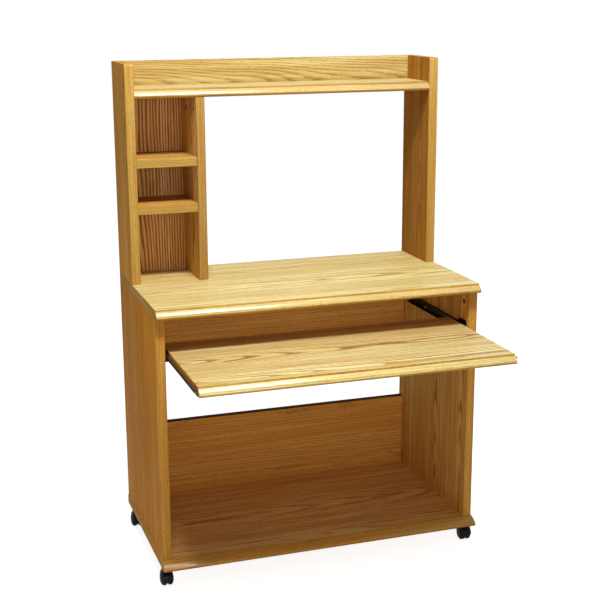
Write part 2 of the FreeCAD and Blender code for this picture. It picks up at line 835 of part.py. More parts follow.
os.makedirs("parts", exist_ok=True)
save_cabinet()
save_hutch()
save_tray()
save_fasteners()
for caster_name, (stem_x, stem_axis_y) in caster_stems().items():
    save_caster(caster_name, stem_x, stem_axis_y)
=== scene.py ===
"""An oak computer desk on casters: its woodwork, slides, casters and finishes, the light and the camera.

Lengths are in metres in the desk's own frame: +X to the user's right, +Y to the desk's back, +Z up,
with the origin on the floor.
"""
import json
import logging
import math
from dataclasses import dataclass, replace
from enum import Enum, IntEnum
from typing import Any, Callable, Sequence

import bmesh
import bpy
from mathutils import Matrix, Vector


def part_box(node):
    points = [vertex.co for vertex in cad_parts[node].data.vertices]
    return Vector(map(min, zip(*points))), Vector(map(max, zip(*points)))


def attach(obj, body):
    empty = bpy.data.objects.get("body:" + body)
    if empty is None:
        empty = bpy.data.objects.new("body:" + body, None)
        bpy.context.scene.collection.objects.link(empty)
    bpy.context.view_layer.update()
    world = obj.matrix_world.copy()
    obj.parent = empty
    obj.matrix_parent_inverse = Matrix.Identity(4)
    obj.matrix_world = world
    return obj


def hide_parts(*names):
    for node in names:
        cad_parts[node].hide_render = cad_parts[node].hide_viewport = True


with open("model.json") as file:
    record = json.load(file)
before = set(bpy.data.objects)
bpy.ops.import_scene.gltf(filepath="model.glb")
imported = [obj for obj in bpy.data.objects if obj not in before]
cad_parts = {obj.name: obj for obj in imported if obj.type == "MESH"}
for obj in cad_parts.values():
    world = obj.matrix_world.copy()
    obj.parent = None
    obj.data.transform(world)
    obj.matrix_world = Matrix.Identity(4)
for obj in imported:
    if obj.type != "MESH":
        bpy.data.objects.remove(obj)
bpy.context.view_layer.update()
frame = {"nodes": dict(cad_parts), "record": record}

LOG = logging.getLogger("desk")

Piece, Face = bpy.types.Object, bpy.types.MeshPolygon
Colour = tuple[float, float, float]
Place = tuple[float, float, float]
Outline = Sequence[tuple[float, float]]
Test = Callable[[Vector, Vector], bool]
Picker = Callable[[Face], int]
WHITE: Colour = (1.0, 1.0, 1.0)
FLOOR_PAINT: Colour = (0.80, 0.80, 0.80)
COLOUR_A, COLOUR_B, MIXED_COLOUR = 6, 7, 2  # sockets of a Mix node for colours
RIGHT, UP = Vector((1.0, 0.0, 0.0)).freeze(), Vector((0.0, 0.0, 1.0)).freeze()
SIDES = (-1.0, 1.0)


# ---- shader graph ---------------------------------------------------------
def operator(operation: str, swapped: bool = False) -> Callable[..., "Link"]:
    """A method that adds a Math node on a link and another value.

    Args:
        operation: The node's operation.
        swapped: Whether the other value comes first.

    Returns:
        The method.
    """
    def method(link: "Link", other: Any = 0.0) -> "Link":
        """Work out the new value."""
        first, second = (other, link) if swapped else (link, other)
        return link.graph.node("Math", {0: first, 1: second}, operation=operation)

    return method


@dataclass(frozen=True)
class Link:
    """One output socket of a material's node graph, with arithmetic that adds Math nodes."""

    graph: "Graph"
    socket: bpy.types.NodeSocket

    __add__, __radd__ = operator("ADD"), operator("ADD", True)
    __sub__, __rsub__ = operator("SUBTRACT"), operator("SUBTRACT", True)
    __mul__, __rmul__ = operator("MULTIPLY"), operator("MULTIPLY", True)
    __truediv__, at_most = operator("DIVIDE"), operator("MINIMUM")
    root, floor, fraction = operator("SQRT"), operator("FLOOR"), operator("FRACT")

    def step(self, low: float, high: float, start: float = 0.0, end: float = 1.0) -> "Link":
        """Ease from start to end as the value goes from low to high."""
        sockets = {0: self, 1: low, 2: high, 3: start, 4: end}
        return self.graph.node("MapRange", sockets, interpolation_type="SMOOTHSTEP")

    def outputs(self) -> list["Link"]:
        """Every output of the same node."""
        return [Link(self.graph, output) for output in self.socket.node.outputs]


class Graph:
    """The node graph of a new material or world, and the one way in which nodes are added to it."""

    def __init__(self, owner: bpy.types.Material | bpy.types.World) -> None:
        """Start an empty graph.

        Args:
            owner: The material or world that it is for.
        """
        owner.use_nodes = True
        self.owner = owner
        self.tree = owner.node_tree
        self.tree.nodes.clear()

    def node(self, kind: str, sockets: dict[int | str, Any], out: int | str | None = 0,
             **settings: Any) -> Link | None:
        """Add a node, set it, and feed its sockets.

        Args:
            kind: The node's type name, after ShaderNode.
            sockets: Values or links by input name or number.
            out: The output to return; None for a node that has none.
            **settings: Attributes set before the sockets.

        Returns:
            That output as a Link.
        """
        made = self.tree.nodes.new("ShaderNode" + kind)
        for key, value in settings.items():
            setattr(made, key, value)
        for key, value in sockets.items():
            target = made.inputs[key]
            if isinstance(value, Link):
                self.tree.links.new(value.socket, target)
            else:
                target.default_value = (*value, 1.0) if target.type == "RGBA" else value
        return None if out is None else Link(self, made.outputs[out])

    def place(self, centre: Sequence[float] = (0.0, 0.0, 0.0)) -> list[Link]:
        """X, Y and Z of the shaded point, measured from a centre in metres."""
        sockets = {"Vector": self.node("TexCoord", {}, "Object"), "Location": [-value for value in centre]}
        return self.node("SeparateXYZ", {0: self.node("Mapping", sockets, vector_type="POINT")}).outputs()

    def noise(self, place: Sequence[Link], scales: Place, detail: float = 2.0, rough: float = 0.5,
              shift: float = 0.0) -> Link:
        """Soft noise about 0.5.

        Args:
            place: The three directions that it is read along.
            scales: Features to a metre along each.
            detail: Octaves added to the first.
            rough: Share that each octave keeps.
            shift: How far it is moved along the third direction, for a pattern of its own.

        Returns:
            The noise value.
        """
        x, y, z = (value * scale for value, scale in zip(place, scales))
        point = self.node("CombineXYZ", {0: x, 1: y, 2: z + shift})
        sockets = {"Vector": point, "Scale": 1.0, "Detail": detail, "Roughness": rough}
        return self.node("TexNoise", sockets, normalize=True)

    def blend(self, share: Any, first: Any, second: Any) -> Link:
        """Mix two colours: share 0 gives the first, 1 the second."""
        sockets = {0: share, COLOUR_A: first, COLOUR_B: second}
        return self.node("Mix", sockets, MIXED_COLOUR, data_type="RGBA", blend_type="MIX", clamp_factor=True)

    def bump(self, height: Link, strength: float, distance: float) -> Link:
        """Normal of a surface with small relief."""
        return self.node("Bump", {"Strength": strength, "Distance": distance, "Height": height})

    def surface(self, **sockets: Any) -> bpy.types.Material:
        """Close the graph with a principled surface.

        Args:
            **sockets: Its inputs by name, with underscores for spaces.

        Returns:
            The finished material.
        """
        named = {key.replace("_", " "): value for key, value in sockets.items()}
        self.node("OutputMaterial", {"Surface": self.node("BsdfPrincipled", named)}, None)
        return self.owner

    def by_ray(self, others: Link, background: Link) -> Link:
        """Mix two shaders by what looks at them.

        Args:
            others: What lights the desk.
            background: What the camera, reflections and clear plastic show.

        Returns:
            The mixed shader.
        """
        rays = {link.socket.name: link for link in self.node("LightPath", {}).outputs()}
        seen = rays["Is Camera Ray"] + rays["Is Glossy Ray"] + rays["Is Transmission Ray"]
        return self.node("MixShader", {0: seen.at_most(1.0), 1: others, 2: background})


# ---- finishes -------------------------------------------------------------
class Axis(Enum):
    """Direction of a board's grain or width."""

    X = 0
    Y = 1
    Z = 2

    def third(self, other: "Axis") -> "Axis":
        """The axis square to this one and another."""
        return next(axis for axis in Axis if axis not in (self, other))


X, Y, Z = Axis


@dataclass(frozen=True)
class Cut:
    """How a log is sliced: the ring centre's place, and the rings' width and slant.

    heart is the centre's distance from the middle of a veneer leaf, across the board, and depth
    its distance behind the surface. Rings tilt away by taper along the grain, and wander is how
    many ring widths a line strays from its place.
    """

    heart: float = 0.0
    depth: float = 0.03
    taper: float = 0.03
    ring: float = 0.005
    leaf: float = 0.20
    wander: float = 1.1


@dataclass(frozen=True)
class Streak:
    """Lines along the grain: how many to a metre across and along it, and the noise that they start
    at and are full at."""

    fine: float
    long: float
    low: float
    high: float

    def read(self, graph: Graph, place: Sequence[Link], seed: float) -> Link:
        """The lines on a board with this seed: 1 on a line, 0 between them."""
        scales = (self.fine, self.fine, self.long)
        return graph.noise(place, scales, rough=ROUGH, shift=seed).step(self.low, self.high)


CLOUDY, ROUGH = 3.0, 0.6  # more octaves than noise has by itself, and a larger share that each keeps
PORES = Streak(1700.0, 75.0, 0.50, 0.62)
FIBRES = Streak(190.0, 3.6, 0.30, 0.70)
BANDS = Streak(26.0, 0.9, 0.32, 0.68)
DRIFT: Place = (2.5, 2.5, 1.7)  # how often to a metre the log bends across, through and along
STRAY: Place = (45.0, 45.0, 6.0)  # how often a ring strays
DRIFT_DEPTH = 0.04
LEAF_SHIFT = 0.4  # most that a leaf's rings move aside, as a share of its width
LEAF_SINK = 0.03  # most that they sink
EARLY_FULL, EARLY_FADE, EARLY_END = 0.12, 0.15, 0.65  # early wood's places within a ring
DEEPEST_STAIN = 1.08


@dataclass(frozen=True)
class Oak:
    """Lacquered oak veneer or solid oak.

    The board's own directions are across its width, through its thickness and along its grain.
    """

    name: str
    along: Axis
    across: Axis
    seed: float
    centre: Sequence[float]
    cut: Cut = Cut()
    figure: float = 0.35
    # tint over every colour of the grain: stain, and on the boards' own faces painted light as well
    stain_and_painted_light: Colour = WHITE
    shine: float = 0.004
    coat: float = 0.0
    light: Colour = (0.86, 0.65, 0.270)
    middle: Colour = (0.68, 0.42, 0.125)
    dark: Colour = (0.34, 0.145, 0.028)
    pore: Colour = (0.20, 0.080, 0.016)
    roughness: float = 0.42
    coat_roughness: float = 0.17
    relief: float = 0.0003
    band_shade: float = 0.55
    fibre_shade: float = 0.75
    leaf_shade: float = 0.20
    least_figure: float = 0.30
    least_pore: float = 0.16
    early_pore: float = 0.62
    pore_rough: float = 0.16
    band_rough: float = 0.08
    pore_sink: float = 0.7
    early_sink: float = 0.25
    bump: float = 0.35

    def material(self) -> bpy.types.Material:
        """Make the material.

        Returns:
            The material.
        """
        graph = Graph(bpy.data.materials.new(self.name))
        place = graph.place(self.centre)
        through = self.along.third(self.across)
        place = [place[axis.value] for axis in (self.across, through, self.along)]
        early, leaf_tone = self._rings(graph, place)
        pores, fibres, bands = (streak.read(graph, place, self.seed) for streak in (PORES, FIBRES, BANDS))
        shade = bands * self.band_shade + fibres * self.fibre_shade + leaf_tone * self.leaf_shade
        colour = graph.blend(shade, self._tinted(self.light), self._tinted(self.middle))
        figure = early * (self.least_figure + fibres * (1.0 - self.least_figure)) * self.figure
        colour = graph.blend(figure, colour, self._tinted(self.dark, DEEPEST_STAIN))
        filled = pores * (self.least_pore + early * self.early_pore)
        colour = graph.blend(filled, colour, self._tinted(self.pore, DEEPEST_STAIN))
        return graph.surface(
            Base_Color=colour,
            Roughness=self.roughness + pores * self.pore_rough + bands * self.band_rough,
            Normal=graph.bump(pores * -self.pore_sink - early * self.early_sink, self.bump, self.relief),
            Specular_IOR_Level=self.shine,
            Coat_Weight=self.coat,
            Coat_Roughness=self.coat_roughness,
        )

    def _rings(self, graph: Graph, place: Sequence[Link]) -> tuple[Link, Link]:
        """Early-wood mask and each veneer leaf's tone.

        Args:
            graph: The material's graph.
            place: Distances across the board, through it and along its grain.

        Returns:
            The mask of porous early wood, and a value from 0 to 1 for each leaf.
        """
        cut, (a, n, g) = self.cut, place
        leaves = a / cut.leaf + 0.5
        number = leaves.floor()
        random = graph.node("TexWhiteNoise", {"W": number + self.seed}, "Color", noise_dimensions="1D")
        shift, sink, tone = graph.node("SeparateColor", {0: random}).outputs()
        middle = (leaves - number - 0.5) * cut.leaf
        across = middle + cut.heart + (shift - 0.5) * (LEAF_SHIFT * cut.leaf)
        drift = graph.noise(place, DRIFT, 1.0, shift=self.seed) - 0.5
        wander = graph.noise(place, STRAY, shift=self.seed) - 0.5
        deep = n + sink * LEAF_SINK + cut.depth + g * cut.taper + drift * DRIFT_DEPTH
        radius = (across * across + deep * deep).root()
        phase = (radius / cut.ring + wander * cut.wander).fraction()
        early = phase.step(0.0, EARLY_FULL) * phase.step(EARLY_FADE, EARLY_END, 1.0, 0.0)
        return early, tone

    def _tinted(self, colour: Colour, most: float = 2.0) -> Colour:
        """The colour under the board's tint, which is stain and painted light together, with each channel
        raised by no more than most.
        """
        return tuple(channel * min(stain_and_painted_light, most) for channel, stain_and_painted_light in zip(colour, self.stain_and_painted_light))


@dataclass(frozen=True)
class Metal:
    """Plated or enamelled steel with fine mottling and faint brushing along X."""

    name: str
    colour: Colour
    metallic: float
    roughness: float
    mottle: float = 0.12
    shine: float = 0.5
    cloud_scale: float = 60.0
    cloud_edges: tuple[float, float] = (0.3, 0.7)
    brush_scales: Place = (90.0, 1500.0, 1500.0)
    cloud_rough: float = 0.15
    brush_rough: float = 0.10
    bump: float = 0.10
    relief: float = 0.0002

    def material(self) -> bpy.types.Material:
        """Make the material.

        Returns:
            The material.
        """
        graph = Graph(bpy.data.materials.new(self.name))
        cloud = graph.noise(graph.place(), [self.cloud_scale] * 3, CLOUDY, ROUGH)
        brush = graph.noise(graph.place(), self.brush_scales)
        light = tuple(channel * (1.0 + self.mottle) for channel in self.colour)
        dark = tuple(channel * (1.0 - 2.0 * self.mottle) for channel in self.colour)
        return graph.surface(
            Base_Color=graph.blend(cloud.step(*self.cloud_edges), light, dark),
            Metallic=self.metallic,
            Roughness=self.roughness + (cloud - 0.5) * self.cloud_rough + (brush - 0.5) * self.brush_rough,
            Normal=graph.bump(brush * 0.5 + cloud, self.bump, self.relief),
            Specular_IOR_Level=self.shine,
        )


@dataclass(frozen=True)
class Moulded:
    """Moulded plastic with a fine grain and patches of pale dust."""

    name: str
    colour: Colour
    roughness: float = 0.42
    grain: float = 900.0
    shine: float = 0.2
    dust_scale: float = 35.0
    dust_edges: tuple[float, float] = (0.45, 0.8)
    dust_share: float = 0.5
    dust_gain: float = 1.6
    dust_haze: float = 0.004
    dust_rough: float = 0.18
    grain_rough: float = 0.1
    bump: float = 0.18
    relief: float = 0.00012

    def material(self) -> bpy.types.Material:
        """Make the material.

        Returns:
            The material.
        """
        graph = Graph(bpy.data.materials.new(self.name))
        grain = graph.noise(graph.place(), [self.grain] * 3)
        dust = graph.noise(graph.place(), [self.dust_scale] * 3, CLOUDY, ROUGH).step(*self.dust_edges)
        pale = tuple(channel * self.dust_gain + self.dust_haze for channel in self.colour)
        return graph.surface(
            Base_Color=graph.blend(dust * self.dust_share, self.colour, pale),
            Roughness=self.roughness + dust * self.dust_rough + (grain - 0.5) * self.grain_rough,
            Normal=graph.bump(grain, self.bump, self.relief),
            Specular_IOR_Level=self.shine,
        )


@dataclass(frozen=True)
class Beech:
    """Pale beech with its short dark flecks."""

    name: str
    light: Colour = (0.66, 0.44, 0.24)
    dark: Colour = (0.42, 0.24, 0.11)
    fleck_scales: Place = (160.0, 1400.0, 1400.0)
    fleck_edges: tuple[float, float] = (0.56, 0.72)
    fleck_share: float = 0.6
    cloud_scales: Place = (30.0, 120.0, 120.0)
    cloud_share: float = 0.4
    roughness: float = 0.55
    fleck_rough: float = 0.15
    shine: float = 0.2
    bump: float = 0.2
    relief: float = 0.0002

    def material(self) -> bpy.types.Material:
        """Make the material.

        Returns:
            The material.
        """
        graph = Graph(bpy.data.materials.new(self.name))
        fleck = graph.noise(graph.place(), self.fleck_scales, rough=ROUGH).step(*self.fleck_edges)
        cloud = graph.noise(graph.place(), self.cloud_scales)
        shade = cloud * self.cloud_share + fleck * self.fleck_share
        return graph.surface(
            Base_Color=graph.blend(shade, self.light, self.dark),
            Roughness=self.roughness + fleck * self.fleck_rough,
            Normal=graph.bump(fleck, self.bump, self.relief),
            Specular_IOR_Level=self.shine,
        )


class Finish(Enum):
    """The finishes that several pieces share."""

    # black steel of the channels, and on the runners painted shade
    EPOXY = Metal("black_epoxy_steel", (0.0085, 0.0066, 0.0055), 0.0, 0.42, 0.12, 0.08)
    RUNNER = Metal("brown_epoxy_steel", (0.110, 0.046, 0.012), 0.0, 0.42, 0.12, 0.08)
    ZINC = Metal("zinc_plate", (0.62, 0.61, 0.58), 1.0, 0.30)
    CAM = Metal("dark_cast_cam", (0.030, 0.022, 0.016), 0.5, 0.45, 0.15, 0.25)
    NYLON = Moulded("black_nylon", (0.012, 0.012, 0.012), 0.36)
    HOOD = Moulded("caster_hood_plastic", (0.0050, 0.0048, 0.0048), 0.32, 700.0, 0.11)
    TREAD = Moulded("caster_tread_plastic", (0.0065, 0.0063, 0.0063), 0.46, 1100.0, 0.08)
    BEECH = Beech("pale_beech")

    def material(self) -> bpy.types.Material:
        """The finish's material, made on first use."""
        return bpy.data.materials.get(self.value.name) or self.value.material()


SLOT_FINISHES: dict[str, Finish] = {
    "black_slide_steel": Finish.EPOXY,
    "black_nylon": Finish.NYLON,
    "zinc_steel": Finish.ZINC,
    "dark_cam_metal": Finish.CAM,
    "caster_plastic": Finish.HOOD,
    "caster_tread": Finish.TREAD,
    "beech_dowel": Finish.BEECH,
}


# ---- modelling tools ------------------------------------------------------
WELD = 2e-6  # vertices this near are one
NEAR = 1e-5  # lengths this near agree
FLAT = 0.5  # degrees that a flat face may turn by
SHARP = 60.0  # least turn, in degrees, of the edge of a sheet or a rim
FACING = 0.9  # least cosine for a flat face that looks one way
CORNER = 0.3  # how far a round corner's middle stands in, as a share of its radius


def select_only(piece: Piece) -> None:
    """Make one piece active and the only one selected.

    Args:
        piece: The object.
    """
    bpy.ops.object.select_all(action="DESELECT")
    piece.select_set(True)
    bpy.context.view_layer.objects.active = piece


def apply_modifier(piece: Piece, kind: str, **settings: Any) -> None:
    """Add a modifier, set it and apply it.

    Args:
        piece: The object that takes it.
        kind: The modifier's type.
        **settings: Its attributes.
    """
    select_only(piece)
    modifier = piece.modifiers.new(kind.lower(), kind)
    for key, value in settings.items():
        setattr(modifier, key, value)
    bpy.ops.object.modifier_apply(modifier=modifier.name)


def cut_corners(piece: Piece, width: float, segments: int, corner: float) -> None:
    """Bevel every edge that turns by more than a corner's degrees."""
    apply_modifier(piece, "BEVEL", width=width, segments=segments, limit_method="ANGLE",
                   angle_limit=math.radians(corner), use_clamp_overlap=True)


def smooth(piece: Piece, degrees: float = 32.0) -> None:
    """Shade smooth across every angle below the limit."""
    select_only(piece)
    bpy.ops.object.shade_smooth_by_angle(angle=math.radians(degrees))


def settle(piece: Piece, name: str) -> Piece:
    """Name a piece, and move its turn, place and size into its mesh.

    Args:
        piece: The object.
        name: Its name from now on.

    Returns:
        The same object.
    """
    piece.name = name
    select_only(piece)
    bpy.ops.object.transform_apply(location=True, rotation=True, scale=True)
    return piece


class Shaper:
    """A piece in edit mode: faces or edges are picked by their place and direction, then worked on."""

    def __init__(self, piece: Piece) -> None:
        """Take a piece into edit mode.

        Args:
            piece: The piece.
        """
        self.piece = piece
        select_only(piece)
        bpy.ops.object.mode_set(mode="EDIT")

    def __enter__(self) -> "Shaper":
        """The shaper itself."""
        return self

    def __exit__(self, *problem: Any) -> None:
        """Leave edit mode."""
        bpy.ops.object.mode_set(mode="OBJECT")

    def everything(self, kind: str = "FACE") -> "Shaper":
        """Pick the whole piece.

        Args:
            kind: Its elements: VERT, EDGE or FACE.

        Returns:
            The shaper.
        """
        bpy.ops.mesh.select_mode(type=kind)
        bpy.ops.mesh.select_all(action="SELECT")
        return self

    def _pick(self, kind: str, wanted: Callable[[Any], bool]) -> "Shaper":
        """Pick some elements.

        Args:
            kind: EDGE or FACE.
            wanted: Says yes to an element of the mesh.

        Returns:
            The shaper, with only those elements selected.
        """
        bpy.ops.mesh.select_mode(type=kind)
        bpy.ops.mesh.select_all(action="DESELECT")
        shape = bmesh.from_edit_mesh(self.piece.data)
        for element in shape.edges if kind == "EDGE" else shape.faces:
            element.select_set(wanted(element))
        bmesh.update_edit_mesh(self.piece.data)
        return self

    def faces(self, test: Test, least: float = 0.0) -> "Shaper":
        """Pick the faces that pass a test.

        Args:
            test: Says yes to a face's middle and its outward normal.
            least: Least area of a face.

        Returns:
            The shaper.
        """
        return self._pick("FACE", lambda face: face.calc_area() >= least
                          and test(face.calc_center_median(), face.normal))

    def edges(self, test: Test, sharp: float = 0.0) -> "Shaper":
        """Pick the edges whose two ends pass a test.

        Args:
            test: Says yes to both ends of an edge.
            sharp: Least turn at the edge, in degrees.

        Returns:
            The shaper.
        """
        return self._pick("EDGE", lambda edge: edge.is_manifold
                          and math.degrees(edge.calc_face_angle(0.0)) >= sharp
                          and test(edge.verts[0].co, edge.verts[1].co))

    def extrude(self, x: float = 0.0, y: float = 0.0, z: float = 0.0) -> "Shaper":
        """Draw the picked faces out by a distance."""
        bpy.ops.mesh.extrude_region_move(TRANSFORM_OT_translate={"value": (x, y, z)})
        return self

    def taper(self, share: float, z: float) -> "Shaper":
        """Draw what is picked towards the Z axis, by a share, at a height."""
        bpy.ops.transform.resize(value=(share, share, 1.0), center_override=(0.0, 0.0, z))
        return self

    def inset(self, width: float, depth: float = 0.0) -> "Shaper":
        """Frame the picked faces with a border, and push them by depth along their normals."""
        bpy.ops.mesh.inset(thickness=width, depth=depth, use_even_offset=True)
        return self

    def bevel(self, width: float, segments: int = 2) -> "Shaper":
        """Round the picked edges."""
        bpy.ops.mesh.bevel(offset=width, segments=segments, affect="EDGES", clamp_overlap=False)
        return self

    def bisect(self, axis: Axis, *places: float) -> "Shaper":
        """Cut every face along planes across an axis.

        Args:
            axis: The axis.
            *places: Where the planes cross it.

        Returns:
            The shaper.
        """
        normal = [1.0 if direction is axis else 0.0 for direction in Axis]
        for place in places:
            self.everything()
            bpy.ops.mesh.bisect(plane_co=[place * part for part in normal], plane_no=normal)
        return self

    def weld(self) -> "Shaper":
        """Merge the vertices that stand in one place.

        Returns:
            The shaper.
        """
        self.everything("VERT")
        bpy.ops.mesh.remove_doubles(threshold=WELD)
        return self

    def close(self) -> "Shaper":
        """Merge doubles and turn every face outwards.

        Returns:
            The shaper.
        """
        self.weld()
        bpy.ops.mesh.normals_make_consistent(inside=False)
        return self


def merged_copy(node: str, name: str) -> Piece:
    """A copy of a CAD node with its loose triangles merged into clean faces.

    Args:
        node: The CAD node.
        name: The new piece's name.

    Returns:
        The new piece.
    """
    piece = bpy.data.objects.new(name, frame["nodes"][node].data.copy())
    bpy.context.scene.collection.objects.link(piece)
    piece.data.materials.clear()
    with Shaper(piece) as shape:
        bpy.ops.mesh.customdata_custom_splitnormals_clear()
        shape.weld()
        bpy.ops.mesh.dissolve_limited(angle_limit=math.radians(FLAT))
    return piece


def near(value: float, target: float) -> bool:
    """Whether two lengths agree to a hundredth of a millimetre."""
    return abs(value - target) < NEAR


def both_near(one: Vector, other: Vector, **places: float) -> bool:
    """Whether both ends of an edge lie at the given places, by axis name: x, y or z."""
    return all(near(getattr(end, axis), value) for end in (one, other) for axis, value in places.items())


def box_of(node: str) -> tuple[Vector, Vector]:
    """Lowest and highest corner of a CAD node."""
    low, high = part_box(node)
    return Vector(low), Vector(high)


def middle_of(node: str, **places: float) -> Vector:
    """Middle of a CAD node's box, with its x, y or z put elsewhere where given."""
    middle = sum(box_of(node), Vector()) / 2
    return Vector([places.get(axis, value) for axis, value in zip("xyz", middle)])


def block(name: str, low: Sequence[float], high: Sequence[float]) -> Piece:
    """Make a box to shape further.

    Args:
        name: Its name.
        low: Its lowest corner.
        high: Its highest corner.

    Returns:
        The box.
    """
    bpy.ops.mesh.primitive_cube_add(size=1.0, location=[(a + b) / 2 for a, b in zip(low, high)],
                                    scale=[b - a for a, b in zip(low, high)])
    return settle(bpy.context.active_object, name)


def turned(name: str, outline: Outline, place: Vector, axis: Vector, segments: int = 48) -> Piece:
    """A piece turned on a lathe, its rings drawn one from the next.

    Args:
        name: The piece's name.
        outline: Radius and distance along the axis of each ring. An outline that comes back to
            its first ring gives a bored piece; any other has its two ends closed.
        place: Where the outline's distances start.
        axis: The direction they run in.
        segments: Corners of each ring.

    Returns:
        The closed piece, with its place in its mesh.
    """
    radius, along = outline[0]
    bpy.ops.mesh.primitive_circle_add(vertices=segments, radius=radius, location=(0.0, 0.0, along))
    piece = settle(bpy.context.active_object, name)
    bored = outline[0] == outline[-1]
    draw_out = bpy.ops.mesh.extrude_edges_move if bored else bpy.ops.mesh.extrude_region_move
    with Shaper(piece) as shape:
        shape.everything("EDGE")
        if not bored:
            bpy.ops.mesh.edge_face_add()
            bpy.ops.mesh.select_mode(type="EDGE")
        for (radius, along), (next_radius, next_along) in zip(outline, outline[1:]):
            draw_out(TRANSFORM_OT_translate={"value": (0.0, 0.0, next_along - along)})
            shape.taper(next_radius / radius, next_along)
        shape.close()
    piece.rotation_mode = "QUATERNION"
    piece.rotation_quaternion = UP.rotation_difference(axis)
    piece.location = place
    smooth(settle(piece, name))
    return piece


def bowed(start: tuple[float, float], end: tuple[float, float], rise: float, steps: int = 8) -> Outline:
    """Points of a bow between two outline points.

    Args:
        start: Its first radius and distance.
        end: Its last radius and distance.
        rise: How far its middle stands off the straight line.
        steps: Pieces that it is divided into.

    Returns:
        The points, both ends included.
    """
    chord = Vector(end) - Vector(start)
    out = Vector((chord.y, -chord.x)).normalized() * rise
    shares = [step / steps for step in range(steps + 1)]
    return [tuple(Vector(start) + chord * share + out * (4.0 * share * (1.0 - share))) for share in shares]


def copy_of(piece: Piece, name: str, move: Matrix) -> Piece:
    """A copy with its own mesh, moved or mirrored.

    Args:
        piece: What is copied.
        name: The copy's name.
        move: How its mesh is moved.

    Returns:
        The copy.
    """
    twin = bpy.data.objects.new(name, piece.data.copy())
    bpy.context.scene.collection.objects.link(twin)
    twin.data.transform(move)
    if move.determinant() < 0.0:
        with Shaper(twin) as shape:
            shape.close()
    return twin


def mirror_of(piece: Piece, name: str) -> Piece:
    """The opposite-handed piece for the desk's other side."""
    return copy_of(piece, name, Matrix.Scale(-1.0, 4, RIGHT))


def joined(pieces: Sequence[Piece], name: str) -> Piece:
    """Make one piece of several.

    Args:
        pieces: What is joined; the first one keeps its place in the scene.
        name: The whole's name.

    Returns:
        The whole.
    """
    select_only(pieces[0])
    for piece in pieces[1:]:
        piece.select_set(True)
    bpy.ops.object.join()
    pieces[0].name = name
    return pieces[0]


def carve(piece: Piece, cutter: Piece) -> None:
    """Cut a piece with another, which is used up."""
    apply_modifier(piece, "BOOLEAN", object=cutter, operation="DIFFERENCE", solver="EXACT")
    bpy.data.objects.remove(cutter)


def slot_of(node: str) -> str:
    """The record's material slot of a node."""
    return next(part["material_slot"] for part in frame["record"]["subparts"] if part["node"] == node)


def complete(piece: Piece, node: str, *looks: Oak | Finish, pick: Picker | None = None) -> None:
    """Dress a piece, put it on its node's body, and hide the node that it stands for.

    Args:
        piece: The finished shape.
        node: The CAD node.
        *looks: What it is made of; left out, the finish of the node's slot.
        pick: The number of the look that a face takes; left out, all faces take the first.
    """
    piece.data.materials.clear()
    for look in looks or [SLOT_FINISHES[slot_of(node)]]:
        piece.data.materials.append(look.material())
    if pick:
        for face in piece.data.polygons:
            face.material_index = pick(face)
    bodies = frame["record"]["behaviour"]["bodies"]
    body = next(body for body, nodes in bodies.items() if node in nodes)
    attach(piece, body)
    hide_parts(node)
    LOG.info("%s on %s: %d faces", piece.name, body, len(piece.data.polygons))


def complete_pair(left: Piece, *looks: Finish, pick: Picker | None = None) -> None:
    """Finish a left piece, named after its node with a word added, and its mirror image.

    Args:
        left: The left piece.
        *looks: What both are made of.
        pick: The number of the look that a face takes.
    """
    right = mirror_of(left, left.name.replace("left", "right"))
    for piece in (left, right):
        complete(piece, piece.name.rpartition("_")[0], *looks, pick=pick)


# ---- woodwork -------------------------------------------------------------
class Glue(Enum):
    """Where a board meets the strip or panel that it is glued to."""

    NOWHERE = 0
    FRONT = 1
    BACK = 2


class FaceKind(IntEnum):
    """A kind of board face, by the number of its look: the show veneer, end grain, the veneer on the
    far side, and a moulding's step and underside, darkened as painted shade, or a dark upper edge."""

    SHOW = 0
    END = 1
    REVERSE = 2
    SHADOWED = 3


STRAIGHT = Cut(heart=0.16, depth=0.02, taper=0.01, ring=0.0045, leaf=4.0)
FLAME = Cut(heart=0.0, depth=0.025, taper=0.035, ring=0.0062, leaf=0.23)
RIFT = Cut(heart=0.11, depth=0.03, taper=0.02, ring=0.0058, leaf=0.18)
BOLD = Cut(heart=0.06, depth=0.03, taper=0.02, ring=0.0072, leaf=0.24, wander=1.3)
FINE = Cut(heart=0.025, depth=0.055, taper=0.055, ring=0.0046, leaf=0.50)
WIDE = Cut(heart=0.0, depth=0.02, taper=0.045, ring=0.0105, leaf=0.27, wander=1.5)
COARSE = Cut(heart=0.10, depth=0.03, taper=0.02, ring=0.0085, leaf=0.19, wander=1.4)

END_STAIN: Colour = (0.88, 0.66, 0.36)
REVERSE_STAIN: Colour = (0.95, 0.68, 0.40)
# darkens a coated moulding's step and underside: painted shade
MOULDING_PAINTED_SHADE: Colour = (0.82, 0.62, 0.38)
# colour of the darker upper edge of a board with a dark top
DARK_TOP_COLOUR: Colour = (0.14, 0.085, 0.055)
BARE_FIGURE, BARE_SEED = 0.4, 0.37
REVERSE_FIGURE, REVERSE_SEED = 0.55, 0.71
SQUARE = 0.8  # least cosine for a face that looks along an axis


